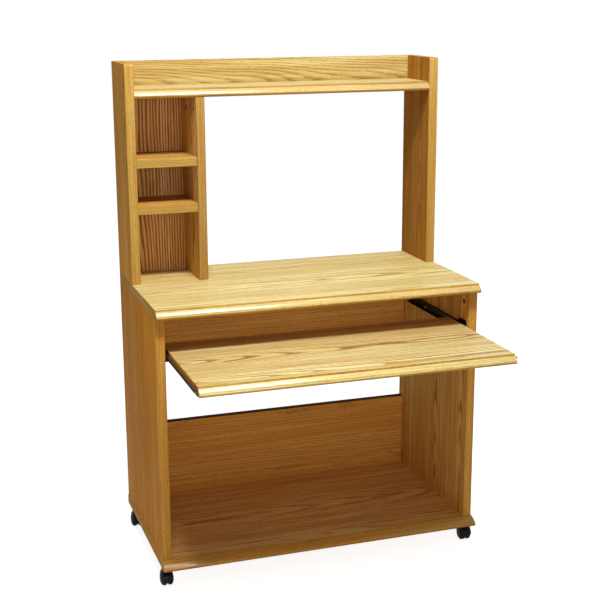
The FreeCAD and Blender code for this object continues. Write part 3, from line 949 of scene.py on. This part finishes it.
@dataclass(frozen=True)
class Board:
    """One wooden piece: which node it stands for, how its grain runs and how it looks."""

    node: str
    along: Axis
    across: Axis
    seed: float
    figure: float
    cut: Cut
    # tint fitted to how the board looked where it stands: stain with painted light in it
    stain_and_painted_light: Colour
    glue: Glue = Glue.NOWHERE
    shine: float = 0.015
    coat: float = 0.0
    dark_top: bool = False
    step_height: float = 0.008
    shortest_edge: float = 0.012
    least_turn: float = 40.0
    shadow_rise: float = 0.15
    shadow_front: float = 0.05

    def build(self, ease: float) -> None:
        """Make the piece and dress it.

        Args:
            ease: Width of the rounding that sanding leaves on its edges.
        """
        piece = merged_copy(self.node, self.node + "_oak")
        low, high = box_of(self.node)
        self._ease(piece, low, high, ease)
        centre, through = (low + high) / 2, self.along.third(self.across)
        own = Oak(self.node + "_moulding", self.along, self.across, self.seed, centre, self.cut, self.figure)
        bare = Oak(self.node + "_band", self.across, through, self.seed + BARE_SEED, centre, STRAIGHT,
                   BARE_FIGURE, END_STAIN)
        looks = [
            replace(own, name=self.node + "_face", stain_and_painted_light=self.stain_and_painted_light, shine=self.shine, coat=self.coat),
            bare,
            replace(own, name=self.node + "_reverse", seed=self.seed + REVERSE_SEED, cut=FLAME,
                    figure=REVERSE_FIGURE, stain_and_painted_light=REVERSE_STAIN),
        ]
        # a darker copy of the look for a coated moulding's step and underside: painted shade
        if self.coat:
            deep = tuple(channel * share for channel, share in zip(self.stain_and_painted_light, MOULDING_PAINTED_SHADE))
            looks.append(replace(own, stain_and_painted_light=deep))
        if self.dark_top:
            looks.append(replace(bare, name=self.node + "_dark_edge", along=self.along, seed=self.seed,
                                 stain_and_painted_light=DARK_TOP_COLOUR))
        complete(piece, self.node, *looks, pick=lambda face: self._kind(face, high.z))

    def _ease(self, piece: Piece, low: Vector, high: Vector, width: float) -> None:
        """Round the board's own edges, but not the glue line's or a hidden bore's.

        Args:
            piece: The merged copy.
            low: Its lowest corner.
            high: Its highest corner.
            width: Width of the rounding.
        """
        glued = {Glue.FRONT: low.y, Glue.BACK: high.y}.get(self.glue)
        shortest = 0.0 if self.glue is Glue.BACK else self.shortest_edge

        def own(one: Vector, other: Vector) -> bool:
            """Whether an edge is long enough and off the glue line."""
            on_line = glued is not None and both_near(one, other, y=glued)
            return not on_line and (one - other).length > shortest

        with Shaper(piece) as shape:
            shape.edges(own, self.least_turn).bevel(width)
        smooth(piece)

    def _kind(self, face: Face, top: float) -> FaceKind:
        """Tell what kind of face this is.

        Args:
            face: The face.
            top: Height of the board's upper face.

        Returns:
            Its kind.
        """
        normal = face.normal
        if abs(normal[self.along.value]) > SQUARE:
            return FaceKind.END
        # a coated moulding's step face and lower faces take the painted shade; a dark-topped board's upper
        # faces take its dark top colour
        step = normal.y < -FACING and top - self.step_height < face.center.z < top
        under = normal.z < self.shadow_rise and normal.y < -self.shadow_front
        if self.coat and (step or under) or self.dark_top and normal.z > SQUARE:
            return FaceKind.SHADOWED
        return FaceKind.REVERSE if max(normal.x, normal.y, -normal.z) > SQUARE else FaceKind.SHOW


@dataclass(frozen=True)
class Woodwork:
    """Boards that make up a part of the desk, with edges eased alike."""

    boards: tuple[Board, ...]
    ease: float = 0.0006

    def build(self) -> None:
        """Make every board."""
        for board in self.boards:
            board.build(self.ease)


@dataclass(frozen=True)
class Cabinet(Woodwork):
    """The two sides, desktop, base and lower back panels with their solid edges."""

    boards: tuple[Board, ...] = (
        # Tints fitted to how each board looked where it stands, so they hold painted light as well as stain:
        # the left side's deep orange is partly painted shade.
        Board("left_side", Z, Y, 3.1, 0.70, RIFT, (0.99, 0.63, 0.21), Glue.FRONT, 0.004),
        Board("right_side", Z, Y, 5.7, 0.95, FLAME, (1.16, 1.06, 0.80), Glue.FRONT),
        Board("side_lippings", Z, X, 9.2, 0.35, STRAIGHT, (0.82, 0.61, 0.34), Glue.BACK),
        # pale, bluish tint: partly a painted sheen on the desktop
        Board("desktop_panel", X, Y, 12.4, 0.85, COARSE, (1.10, 1.34, 1.55), Glue.FRONT, 0.08),
        Board("desktop_nosing", X, Y, 15.3, 0.35, STRAIGHT, (1.00, 1.15, 1.15), Glue.BACK, 0.05, 0.8),
        Board("base_panel", X, Y, 18.9, 0.70, WIDE, (1.04, 0.92, 0.88), Glue.FRONT),
        Board("base_nosing", X, Y, 21.6, 0.35, STRAIGHT, (0.86, 0.67, 0.37), Glue.BACK, 0.015, 0.4),
        Board("lower_back_panel", X, Z, 24.2, 0.22, COARSE, (1.02, 0.74, 0.45), dark_top=True),
        Board("modesty_panel", X, Z, 27.5, 0.16, COARSE, (1.03, 0.76, 0.50)),
    )


@dataclass(frozen=True)
class Hutch(Woodwork):
    """The hutch's sides, long shelf, rail and cubbies."""

    boards: tuple[Board, ...] = (
        # Tints fitted like the cabinet's, with painted light in them: the left side's deep orange is partly
        # painted shade.
        Board("hutch_left_side", Z, Y, 30.8, 0.70, RIFT, (1.14, 0.80, 0.28), Glue.FRONT, 0.004),
        # dark tint: painted shade, darker than the wood of the other sides
        Board("hutch_right_side", Z, Y, 33.1, 0.60, FLAME, (0.64, 0.43, 0.20), Glue.FRONT, 0.004),
        Board("hutch_side_lippings", Z, X, 36.7, 0.35, STRAIGHT, (0.85, 0.76, 0.52), Glue.BACK),
        # pale, bluish tint: partly a painted sheen on the shelf
        Board("hutch_shelf", X, Y, 39.4, 0.50, FLAME, (1.01, 1.30, 1.81), Glue.FRONT, 0.08),
        Board("hutch_shelf_nosing", X, Y, 42.2, 0.35, STRAIGHT, (0.97, 1.14, 1.40), Glue.BACK, 0.05, 0.7),
        Board("hutch_back_rail", X, Z, 45.9, 0.62, FINE, (0.84, 0.92, 0.95)),
        Board("divider", Z, Y, 48.3, 0.80, FLAME, (1.10, 1.04, 0.95), Glue.FRONT, 0.004),
        Board("divider_lipping", Z, X, 51.6, 0.35, STRAIGHT, (0.65, 0.54, 0.39), Glue.BACK),
        Board("lower_cubby_shelf", X, Y, 54.8, 0.60, RIFT, (0.85, 0.72, 0.50), Glue.FRONT),
        Board("upper_cubby_shelf", X, Y, 57.2, 0.60, RIFT, (0.85, 0.72, 0.50), Glue.FRONT),
        Board("cubby_shelf_lippings", X, Z, 60.5, 0.35, STRAIGHT, (0.80, 0.76, 0.56), Glue.BACK),
        Board("cubby_back", Z, X, 63.1, 2.80, BOLD, (1.13, 1.01, 1.17)),
    )


@dataclass(frozen=True)
class Tray(Woodwork):
    """The keyboard tray's board and its moulded front."""

    boards: tuple[Board, ...] = (
        # pale, bluish tint: partly a painted sheen on the tray
        Board("tray_panel", X, Y, 66.6, 1.30, FLAME, (1.15, 1.38, 1.70), Glue.FRONT, 0.08),
        Board("tray_nosing", X, Y, 69.9, 0.35, STRAIGHT, (1.00, 1.15, 1.15), Glue.BACK, 0.05, 0.8),
    )


# ---- screws and slides ----------------------------------------------------
def along_y(node: str, margin: float, count: int = 3) -> list[float]:
    """Evenly spaced places along Y, the first and last a margin inside a node's box."""
    start, end = box_of(node)[0].y + margin, box_of(node)[1].y - margin
    return [start + (end - start) * number / (count - 1) for number in range(count)]


@dataclass(frozen=True)
class CountersunkScrew:
    """A countersunk screw with a cross recess, its head at z = 0 and its shank towards +Z."""

    head: float
    shank: float
    cone: float
    length: float
    recess: float = 0.0016
    rim_share: float = 0.06
    point_start: float = 0.86
    point_share: float = 0.25
    cross_reach: float = 0.62
    cross_half: float = 0.13
    cross_foot: float = 0.55
    above: float = 0.001
    ring: int = 32

    def model(self) -> Piece:
        """Make the screw once.

        Returns:
            The screw.
        """
        rim = self.head * self.rim_share
        outline = [(self.head - rim, 0.0), (self.head, rim), (self.shank, self.cone),
                   (self.shank, self.length * self.point_start), (self.shank * self.point_share, self.length)]
        screw = turned("screw_model", outline, Vector(), UP, self.ring)
        reach, half = self.head * self.cross_reach, self.head * self.cross_half
        for x, y in ((reach, half), (half, reach)):
            cutter = block("cross_cutter", (-x, -y, -self.above), (x, y, self.recess))
            with Shaper(cutter) as shape:
                shape.faces(lambda at, way: way.z > FACING).taper(self.cross_foot, self.recess)
            carve(screw, cutter)
        smooth(screw)
        return screw

    def set_in(self, node: str, x: float, z: float, way: Vector) -> None:
        """Put a row of screws on each side of the desk, and finish them as one piece.

        Args:
            node: The CAD node that they stand for.
            x: Distance of the heads from the desk's middle.
            z: Their height.
            way: Direction of the right row's shanks; the left row's is its mirror image.
        """
        model, copies = self.model(), []
        for side in SIDES:
            turn = UP.rotation_difference(Vector((side * way.x, way.y, way.z))).to_matrix().to_4x4()
            for y in along_y(node, self.head):
                move = Matrix.Translation((side * x, y, z)) @ turn
                copies.append(copy_of(model, f"{node}_set_{len(copies)}", move))
        bpy.data.objects.remove(model)
        complete(joined(copies, node + "_driven"), node)


@dataclass(frozen=True)
class Slides:
    """The pair of roller slides that carry the tray."""

    sheet: float = 0.0012
    bend: float = 0.0014
    inner_bend: float = 0.0004
    rim: float = 0.0002
    ear_length: float = 0.052
    ear_rise: float = 0.009
    slot_length: float = 0.018
    slot_height: float = 0.0052
    notch: float = 0.028
    tab_rise: float = 0.00405
    tab_round: float = 0.003
    # outer strip of a runner's flange top kept black: painted shade
    painted_shade_rim: float = 0.0032
    lip: float = 0.004
    bore: float = 0.00255
    hub_wall: float = 0.0014
    tread_wall: float = 0.0016
    slope: float = 0.0003
    dish: float = 0.0007
    pin: float = 0.0025
    pin_head: float = 0.0036
    pin_head_depth: float = 0.0008
    chamfer: float = 0.0002
    dimple: float = 0.0004
    dimple_shares: tuple[float, float] = (0.5, 0.4)
    peened_share: float = 0.8
    tail_share: float = 0.9
    ear_round: float = 0.96
    slot_round: float = 0.48
    pressed_turn: float = 50.0
    pressed_smooth: float = 28.0
    upward: float = 0.6
    roller_ring: int = 40
    pin_ring: int = 28
    screw_head: float = 0.0034

    def build(self) -> None:
        """Make both slides."""
        channel, runner = self._channel(), self._runner()
        complete_pair(channel)
        # a runner's flange top is brown and its other faces black: painted shade on the one brown steel
        complete_pair(runner, Finish.EPOXY, Finish.RUNNER, pick=self._brown_top_or_painted_shade)
        self._rollers()
        self._pins()
        self._screws()

    def _channel(self) -> Piece:
        """Make the left channel: a C of folded sheet with a raised ear and slotted holes.

        Returns:
            The channel.
        """
        low, high = box_of("left_channel")
        top, ear_end, inner = high.z - self.ear_rise, low.y + self.ear_length, low.x + self.sheet
        floor, ceiling = low.z + self.sheet, top - self.sheet
        piece = block("left_channel_steel", low, (inner, high.y, top))
        with Shaper(piece) as shape:
            shape.bisect(Z, floor, ceiling).bisect(Y, ear_end)
            shape.faces(lambda at, way: way.x > FACING and not floor < at.z < ceiling)
            shape.extrude(x=high.x - inner)
            shape.faces(lambda at, way: way.z > FACING and near(at.z, top)
                        and at.x < inner and at.y < ear_end)
            shape.extrude(z=self.ear_rise)
            shape.edges(lambda a, b: both_near(a, b, z=high.z) and near(a.y, b.y))
            shape.bevel(self.ear_rise * self.ear_round, segments=6)
            shape.edges(lambda a, b: both_near(a, b, x=low.x, z=low.z)
                        or both_near(a, b, x=low.x, z=top) and min(a.y, b.y) > ear_end - NEAR, SHARP)
            shape.bevel(self.bend, segments=4)
            shape.edges(lambda a, b: both_near(a, b, x=inner, z=floor) or both_near(a, b, x=inner, z=ceiling))
            shape.bevel(self.inner_bend)
        screws = along_y("channel_screws", self.screw_head)
        for before, after in zip(screws, screws[1:]):
            self._slot(piece, middle_of("channel_screws", x=low.x + self.sheet / 2, y=(before + after) / 2))
        return self._rimmed(piece)

    def _slot(self, piece: Piece, middle: Vector) -> None:
        """Cut one round-ended hole through the channel's web.

        Args:
            piece: The channel.
            middle: The hole's middle.
        """
        half = Vector((self.sheet * 2.0, self.slot_length / 2, self.slot_height / 2))
        cutter = block("slot_cutter", middle - half, middle + half)
        with Shaper(cutter) as shape:
            shape.edges(lambda a, b: near(a.y, b.y) and near(a.z, b.z))
            shape.bevel(self.slot_height * self.slot_round, segments=5)
        carve(piece, cutter)

    def _runner(self) -> Piece:
        """Make the left runner: foot under the tray, web, and a flange with a lip.

        Returns:
            The runner.
        """
        low, high = box_of("left_runner")
        inner = box_of("tray_panel")[0].x
        outer, top, end = inner - self.sheet, high.z - self.tab_rise, high.y - self.notch
        foot, under = low.z + self.sheet, top - self.sheet
        piece = block("left_runner_steel", (outer, low.y, low.z), (inner, high.y, top))
        with Shaper(piece) as shape:
            shape.bisect(Z, foot, under).bisect(Y, end)
            shape.faces(lambda at, way: way.x > FACING and at.z < foot).extrude(x=high.x - inner)
            shape.faces(lambda at, way: way.x < -FACING and at.z > under and at.y < end)
            shape.extrude(x=low.x + self.sheet - outer).extrude(x=-self.sheet)
            shape.faces(lambda at, way: way.z < -FACING and near(at.z, under) and at.x < low.x + self.sheet)
            shape.extrude(z=self.sheet - self.lip)
            shape.faces(lambda at, way: way.z > FACING and near(at.z, top) and at.x > outer and at.y > end)
            shape.extrude(z=self.tab_rise)
            shape.edges(lambda a, b: both_near(a, b, z=high.z) and near(a.y, b.y))
            shape.bevel(self.tab_round, segments=4)
            shape.edges(lambda a, b: both_near(a, b, x=outer, z=low.z) or both_near(a, b, x=low.x, z=top)
                        or both_near(a, b, x=inner, z=top) and max(a.y, b.y) < end + NEAR, SHARP)
            shape.bevel(self.bend, segments=4)
            shape.edges(lambda a, b: both_near(a, b, x=inner, z=foot) or both_near(a, b, x=outer, z=under))
            shape.bevel(self.inner_bend).bisect(X, low.x + self.painted_shade_rim)
        return self._rimmed(piece)

    def _rimmed(self, piece: Piece) -> Piece:
        """Take the sharpness off a pressed part's free edges.

        Args:
            piece: The pressed part.

        Returns:
            The same part.
        """
        cut_corners(piece, self.rim, 1, self.pressed_turn)
        with Shaper(piece) as shape:
            shape.close()
        smooth(piece, self.pressed_smooth)
        return piece

    def _brown_top_or_painted_shade(self, face: Face) -> int:
        """1 for the brown top of a runner's flange, short of its rim, and 0 for the rest, painted black as
        shade.
        """
        reach = -box_of("left_runner")[0].x - self.painted_shade_rim
        return int(face.normal.z > self.upward and abs(face.center.x) < reach)

    def _rollers(self) -> None:
        """The four nylon rollers, recessed between hub and tread."""
        for node in ("left_front_roller", "left_rear_roller"):
            low, high = box_of(node)
            radius, width, dish = (high.z - low.z) / 2, high.x - low.x, self.dish
            hub, wall = self.bore + self.hub_wall, radius - self.tread_wall
            near_side = [(self.bore, 0.0), (hub, 0.0), (hub + self.slope, dish), (wall, dish),
                         (wall + self.slope, 0.0), (radius - dish, 0.0),
                         (radius - dish * CORNER, dish * CORNER), (radius, dish)]
            far_side = [(r, width - along) for r, along in reversed(near_side)]
            outline = [*near_side, *far_side, near_side[0]]
            centre = middle_of(node, x=low.x)
            complete_pair(turned(node + "_wheel", outline, centre, RIGHT, self.roller_ring))

    def _pins(self) -> None:
        """Riveted pins: the front ones headed towards the tray, the rear ones peened in the runner."""
        pin, head, depth, edge = self.pin, self.pin_head, self.pin_head_depth, self.chamfer
        headed = [(pin, -depth), (head - edge, -depth), (head, edge - depth), (head - self.slope, 0.0)]
        peened = [(pin, -self.dimple), (pin * self.peened_share, 0.0)]
        rim, bottom = (pin * share for share in self.dimple_shares)
        channel, tray_x = box_of("left_channel"), box_of("tray_panel")[0].x
        for place, start, reach, tip, way in (
                ("front", channel[0].x, channel[1].x - channel[0].x, headed, RIGHT),
                ("rear", tray_x, tray_x - box_of("left_rear_roller")[0].x, peened, -RIGHT)):
            node = place + "_roller_pins"
            ends = [*tip, (rim, 0.0), (bottom, -self.dimple)]
            outline = [(pin * self.tail_share, 0.0), (pin, edge),
                       *((radius, reach + along) for radius, along in ends)]
            centre = middle_of(f"left_{place}_roller", x=start)
            left = turned(node + "_left", outline, centre, way, self.pin_ring)
            complete(joined([left, mirror_of(left, node + "_right")], node + "_riveted"), node)

    def _screws(self) -> None:
        """Three screws through each channel and each runner."""
        screw = CountersunkScrew(head=self.screw_head, shank=0.0018, cone=0.0016, length=0.014)
        channel_x, runner_x = -box_of("left_channel")[0].x - self.sheet, -box_of("runner_screws")[0].x
        screw.set_in("channel_screws", channel_x, middle_of("channel_screws").z, RIGHT)
        screw.set_in("runner_screws", runner_x, middle_of("runner_screws").z, -RIGHT)


@dataclass(frozen=True)
class Fittings:
    """The knock-down fittings, and the long screws under the base."""

    rim: float = 0.0008
    dish: float = -0.00025
    cam_face: float = 0.00004
    base_head: float = 0.005

    def build(self) -> None:
        """Make the parts of the fittings that show, and dress the hidden ones."""
        self._cams()
        self._base_screws()
        for node in ("cam_bolts", "dowels"):
            hidden = frame["nodes"][node].data.materials
            hidden.clear()
            hidden.append(SLOT_FINISHES[slot_of(node)].material())

    def _cams(self) -> None:
        """The round cams, each face dished inside a raised rim."""
        piece = merged_copy("cam_locks", "cam_locks_cast")
        with Shaper(piece) as shape:
            shape.faces(lambda at, way: True, self.cam_face).inset(self.rim, self.dish)
        smooth(piece)
        complete(piece, "cam_locks")

    def _base_screws(self) -> None:
        """Three long screws up into each side."""
        low, high = box_of("base_screws")
        screw = CountersunkScrew(head=self.base_head, shank=0.0035, cone=0.004, length=high.z - low.z,
                                 recess=0.0026)
        screw.set_in("base_screws", high.x - self.base_head, low.z, UP)


# ---- casters --------------------------------------------------------------
@dataclass(frozen=True)
class Casters:
    """Four twin-wheel casters, modelled once at the left front."""

    places: tuple[str, ...] = ("front_left", "front_right", "rear_left", "rear_right")
    crown_round: float = 0.0012
    moulded_edge: float = 0.0004
    tread_width: float = 0.0095
    tread_round: float = 0.0015
    shoulder: float = 0.0015
    rim_wall: float = 0.0042
    slope: float = 0.0003
    inner_dish: float = 0.0010
    inner_boss: float = 0.0060
    hub_flat: float = 0.006
    hub_height: float = 0.0140
    hub_crown: float = 0.0001
    dome_bulge: float = 0.0018
    axle_bore: float = 0.00305
    axle_depth: float = 0.0113
    axle_chamfer: float = 0.0005
    groove: float = 0.00035
    groove_width: float = 1.5
    groove_depth: float = 0.3
    crown_fit: float = 1e-4
    hood_turn: float = 55.0
    hood_smooth: float = 40.0
    socket_turn: float = 50.0
    dome_steps: int = 10
    wheel_ring: int = 56
    rod_ring: int = 32
    stem_chamfer: float = 0.0006
    stem_top: Outline = (
        (0.0, 0.0100), (0.0008, 0.0096), (0.0008, 0.0086), (0.0001, 0.0082), (0.0001, 0.0064),
        (0.0008, 0.0060), (0.0008, 0.0050), (0.0, 0.0046), (0.0, 0.0012), (0.0012, 0.0))

    def build(self) -> None:
        """Make the left front caster's pieces and copy them to the other corners."""
        models = {
            "hood": self._hood(),
            "stem": self._stem(),
            "axle": self._axle(),
            "wheel_left": self._wheel("wheel_left", -1.0),
            "wheel_right": self._wheel("wheel_right", 1.0),
        }
        for place in self.places:
            move = Matrix.Translation(box_of(self._node("stem", place))[0] - box_of(self._node("stem"))[0])
            for part, model in models.items():
                node = self._node(part, place)
                complete(copy_of(model, node + "_black", move), node)
        for model in models.values():
            bpy.data.objects.remove(model)
        self._sockets()

    @staticmethod
    def _node(part: str, place: str = "front_left") -> str:
        """The CAD node of one caster's part."""
        return f"caster_{place}_{part}"

    def _hood(self) -> Piece:
        """Make the arched hood, its crown and boss rounded as they leave the mould.

        Returns:
            The hood.
        """
        (low, high), middle = box_of(self._node("hood")), middle_of(self._node("axle"))

        def on_crown(point: Vector) -> bool:
            """Whether a point is on the hood's outer arch."""
            reach = math.hypot(point.y - middle.y, point.z - middle.z)
            return abs(reach - (middle.y - low.y)) < self.crown_fit

        piece = merged_copy(self._node("hood"), "hood_model")
        with Shaper(piece) as shape:
            shape.edges(lambda a, b: any(both_near(a, b, x=x) for x in (low.x, high.x))
                        and on_crown(a) and on_crown(b), SHARP)
            shape.bevel(self.crown_round, segments=3)
            shape.edges(lambda a, b: both_near(a, b, z=high.z), SHARP).bevel(self.moulded_edge * 2.0)
        cut_corners(piece, self.moulded_edge, 1, self.hood_turn)
        smooth(piece, self.hood_smooth)
        return piece

    def _wheel(self, part: str, side: float) -> Piece:
        """One wheel: tread, a groove at its shoulder, and a dome with a capped hub.

        Args:
            part: The wheel's name within the caster.
            side: -1 for the wheel whose dome faces left, 1 for right.

        Returns:
            The wheel.
        """
        low, high = box_of(self._node(part))
        full, width, edge, cut = (high.z - low.z) / 2, self.tread_width, self.tread_round, self.groove
        bore, boss, slope, dish = self.axle_bore, self.inner_boss, self.slope, self.inner_dish
        wall, shoulder, hub, top = full - self.rim_wall, full - self.shoulder, self.hub_flat, self.hub_height
        dome = bowed((shoulder, width), (hub, top), self.dome_bulge, self.dome_steps)
        corner = edge * CORNER
        outline = [
            (bore * 0.5, self.axle_depth), (bore, self.axle_depth), (bore, 0.0),
            (boss, 0.0), (boss + slope, dish), (wall - slope, dish), (wall, 0.0),
            (full - edge, 0.0), (full - corner, corner), (full, edge), (full, width - edge),
            (full - corner, width - corner), (shoulder, width), (shoulder - cut, width),
            (shoulder - cut * self.groove_width, width + cut * self.groove_depth),
            *dome[1:-1], (hub + cut, top), (hub, top - cut), (hub - cut, top),
            (hub * 0.5, top + self.hub_crown),
        ]
        centre = middle_of(self._node(part), x=high.x if side < 0.0 else low.x)
        return turned(part + "_model", outline, centre, RIGHT * side, self.wheel_ring)

    def _stem(self) -> Piece:
        """Make the stem: a pin with a grip ring in a groove near its top.

        Returns:
            The stem.
        """
        low, high = box_of(self._node("stem"))
        radius, length = (high.x - low.x) / 2, high.z - low.z
        top = [(radius - inwards, length - down) for inwards, down in self.stem_top]
        outline = [(radius - self.stem_chamfer, 0.0), (radius, self.stem_chamfer), *top]
        return turned("stem_model", outline, middle_of(self._node("stem"), z=low.z), UP, self.rod_ring)

    def _axle(self) -> Piece:
        """Make the axle, chamfered at both ends.

        Returns:
            The axle.
        """
        low, high = box_of(self._node("axle"))
        radius, length, edge = (high.z - low.z) / 2, high.x - low.x, self.axle_chamfer
        outline = [(radius - edge, 0.0), (radius, edge), (radius, length - edge), (radius - edge, length)]
        return turned("axle_model", outline, middle_of(self._node("axle"), x=low.x), RIGHT, self.rod_ring)

    def _sockets(self) -> None:
        """The four sleeves in the base, their flanges' edges rounded."""
        piece = merged_copy("caster_sockets", "caster_sockets_pressed")
        cut_corners(piece, self.moulded_edge, 2, self.socket_turn)
        smooth(piece)
        complete(piece, "caster_sockets")


# ---- studio ---------------------------------------------------------------
@dataclass(frozen=True)
class Lamp:
    """A soft oblong lamp aimed at a point of the desk."""

    name: str
    place: Place
    aim: Place
    wide: float
    tall: float
    power: float
    gloss_only: bool = False

    def build(self) -> None:
        """Add the lamp to the scene."""
        data = bpy.data.lights.new(self.name, "AREA")
        data.shape = "RECTANGLE"
        data.size, data.size_y = self.wide, self.tall
        data.energy = self.power
        lamp = bpy.data.objects.new(self.name, data)
        direction = Vector(self.aim) - Vector(self.place)
        lamp.rotation_euler = direction.to_track_quat("-Z", "Y").to_euler()
        lamp.location = self.place
        lamp.visible_diffuse = not self.gloss_only
        bpy.context.scene.collection.objects.link(lamp)


@dataclass
class Studio:
    """Pale floor, even world light, soft lamps and the camera."""

    camera_place: Place = (-1.0698, -3.0797, 1.5522)
    yaw: float = 18.547
    pitch: float = 13.931
    roll: float = 0.256
    lens: float = 73.68
    sensor: float = 36.0
    floor_size: float = 16.0
    world_light: float = 0.22
    floor_glow: float = 0.85
    lamps: tuple[Lamp, ...] = (
        Lamp("key", (-0.22, -1.20, 3.45), (0.0, 0.1, 0.75), 1.2, 0.42, 92.0),
        Lamp("gloss", (-0.30, -0.40, 3.60), (-0.1, -0.25, 0.75), 1.6, 1.4, 110.0, gloss_only=True),
        Lamp("fill", (-0.35, -3.70, 1.45), (0.0, 0.1, 0.7), 1.2, 1.2, 24.0),
    )

    def build(self) -> None:
        """Set up everything that isn't the desk."""
        scene = bpy.context.scene
        scene.view_settings.view_transform = "Standard"
        self._camera(scene)
        self._world(scene)
        self._floor()
        for lamp in self.lamps:
            lamp.build()

    def _camera(self, scene: bpy.types.Scene) -> None:
        """Stand the camera where the desk is seen from its left front, slightly from above.

        Args:
            scene: The scene that takes it.
        """
        data = bpy.data.cameras.new("camera")
        data.lens = self.lens
        data.sensor_width = self.sensor
        camera = bpy.data.objects.new("camera", data)
        turn = Matrix.Rotation(-math.radians(self.yaw), 4, "Z")
        tilt = Matrix.Rotation(math.radians(90.0 - self.pitch), 4, "X")
        twist = Matrix.Rotation(-math.radians(self.roll), 4, "Z")
        camera.matrix_world = Matrix.Translation(self.camera_place) @ turn @ tilt @ twist
        scene.collection.objects.link(camera)
        scene.camera = camera

    def _world(self, scene: bpy.types.Scene) -> None:
        """White as a background, and an even light of its own strength on the desk.

        Args:
            scene: The scene that takes it.
        """
        scene.world = bpy.data.worlds.new("studio")
        graph = Graph(scene.world)
        lit, white = (graph.node("Background", {"Color": WHITE, "Strength": strength})
                      for strength in (self.world_light, 1.0))
        graph.node("OutputWorld", {"Surface": graph.by_ray(lit, white)}, None)

    def _floor(self) -> None:
        """A wide pale floor that reads as white and keeps the desk's shadow."""
        bpy.ops.object.select_all(action="DESELECT")
        bpy.ops.mesh.primitive_plane_add(size=self.floor_size, location=(0.0, 0.0, 0.0))
        floor = bpy.context.active_object
        floor.name = "floor"
        graph = Graph(bpy.data.materials.new("pale_floor"))
        paint = graph.node("BsdfDiffuse", {"Color": FLOOR_PAINT})
        glow = graph.node("Emission", {"Color": WHITE, "Strength": self.floor_glow})
        shown = graph.node("AddShader", {0: paint, 1: glow})
        graph.node("OutputMaterial", {"Surface": graph.by_ray(paint, shown)}, None)
        floor.data.materials.append(graph.owner)


def main() -> None:
    """Build the desk, then the studio."""
    logging.basicConfig(level=logging.INFO, format="%(name)s: %(message)s")
    Studio().build()
    for assembly in (Cabinet(), Hutch(), Tray(), Slides(), Casters(), Fittings()):
        assembly.build()


if __name__ == "__main__":
    main()
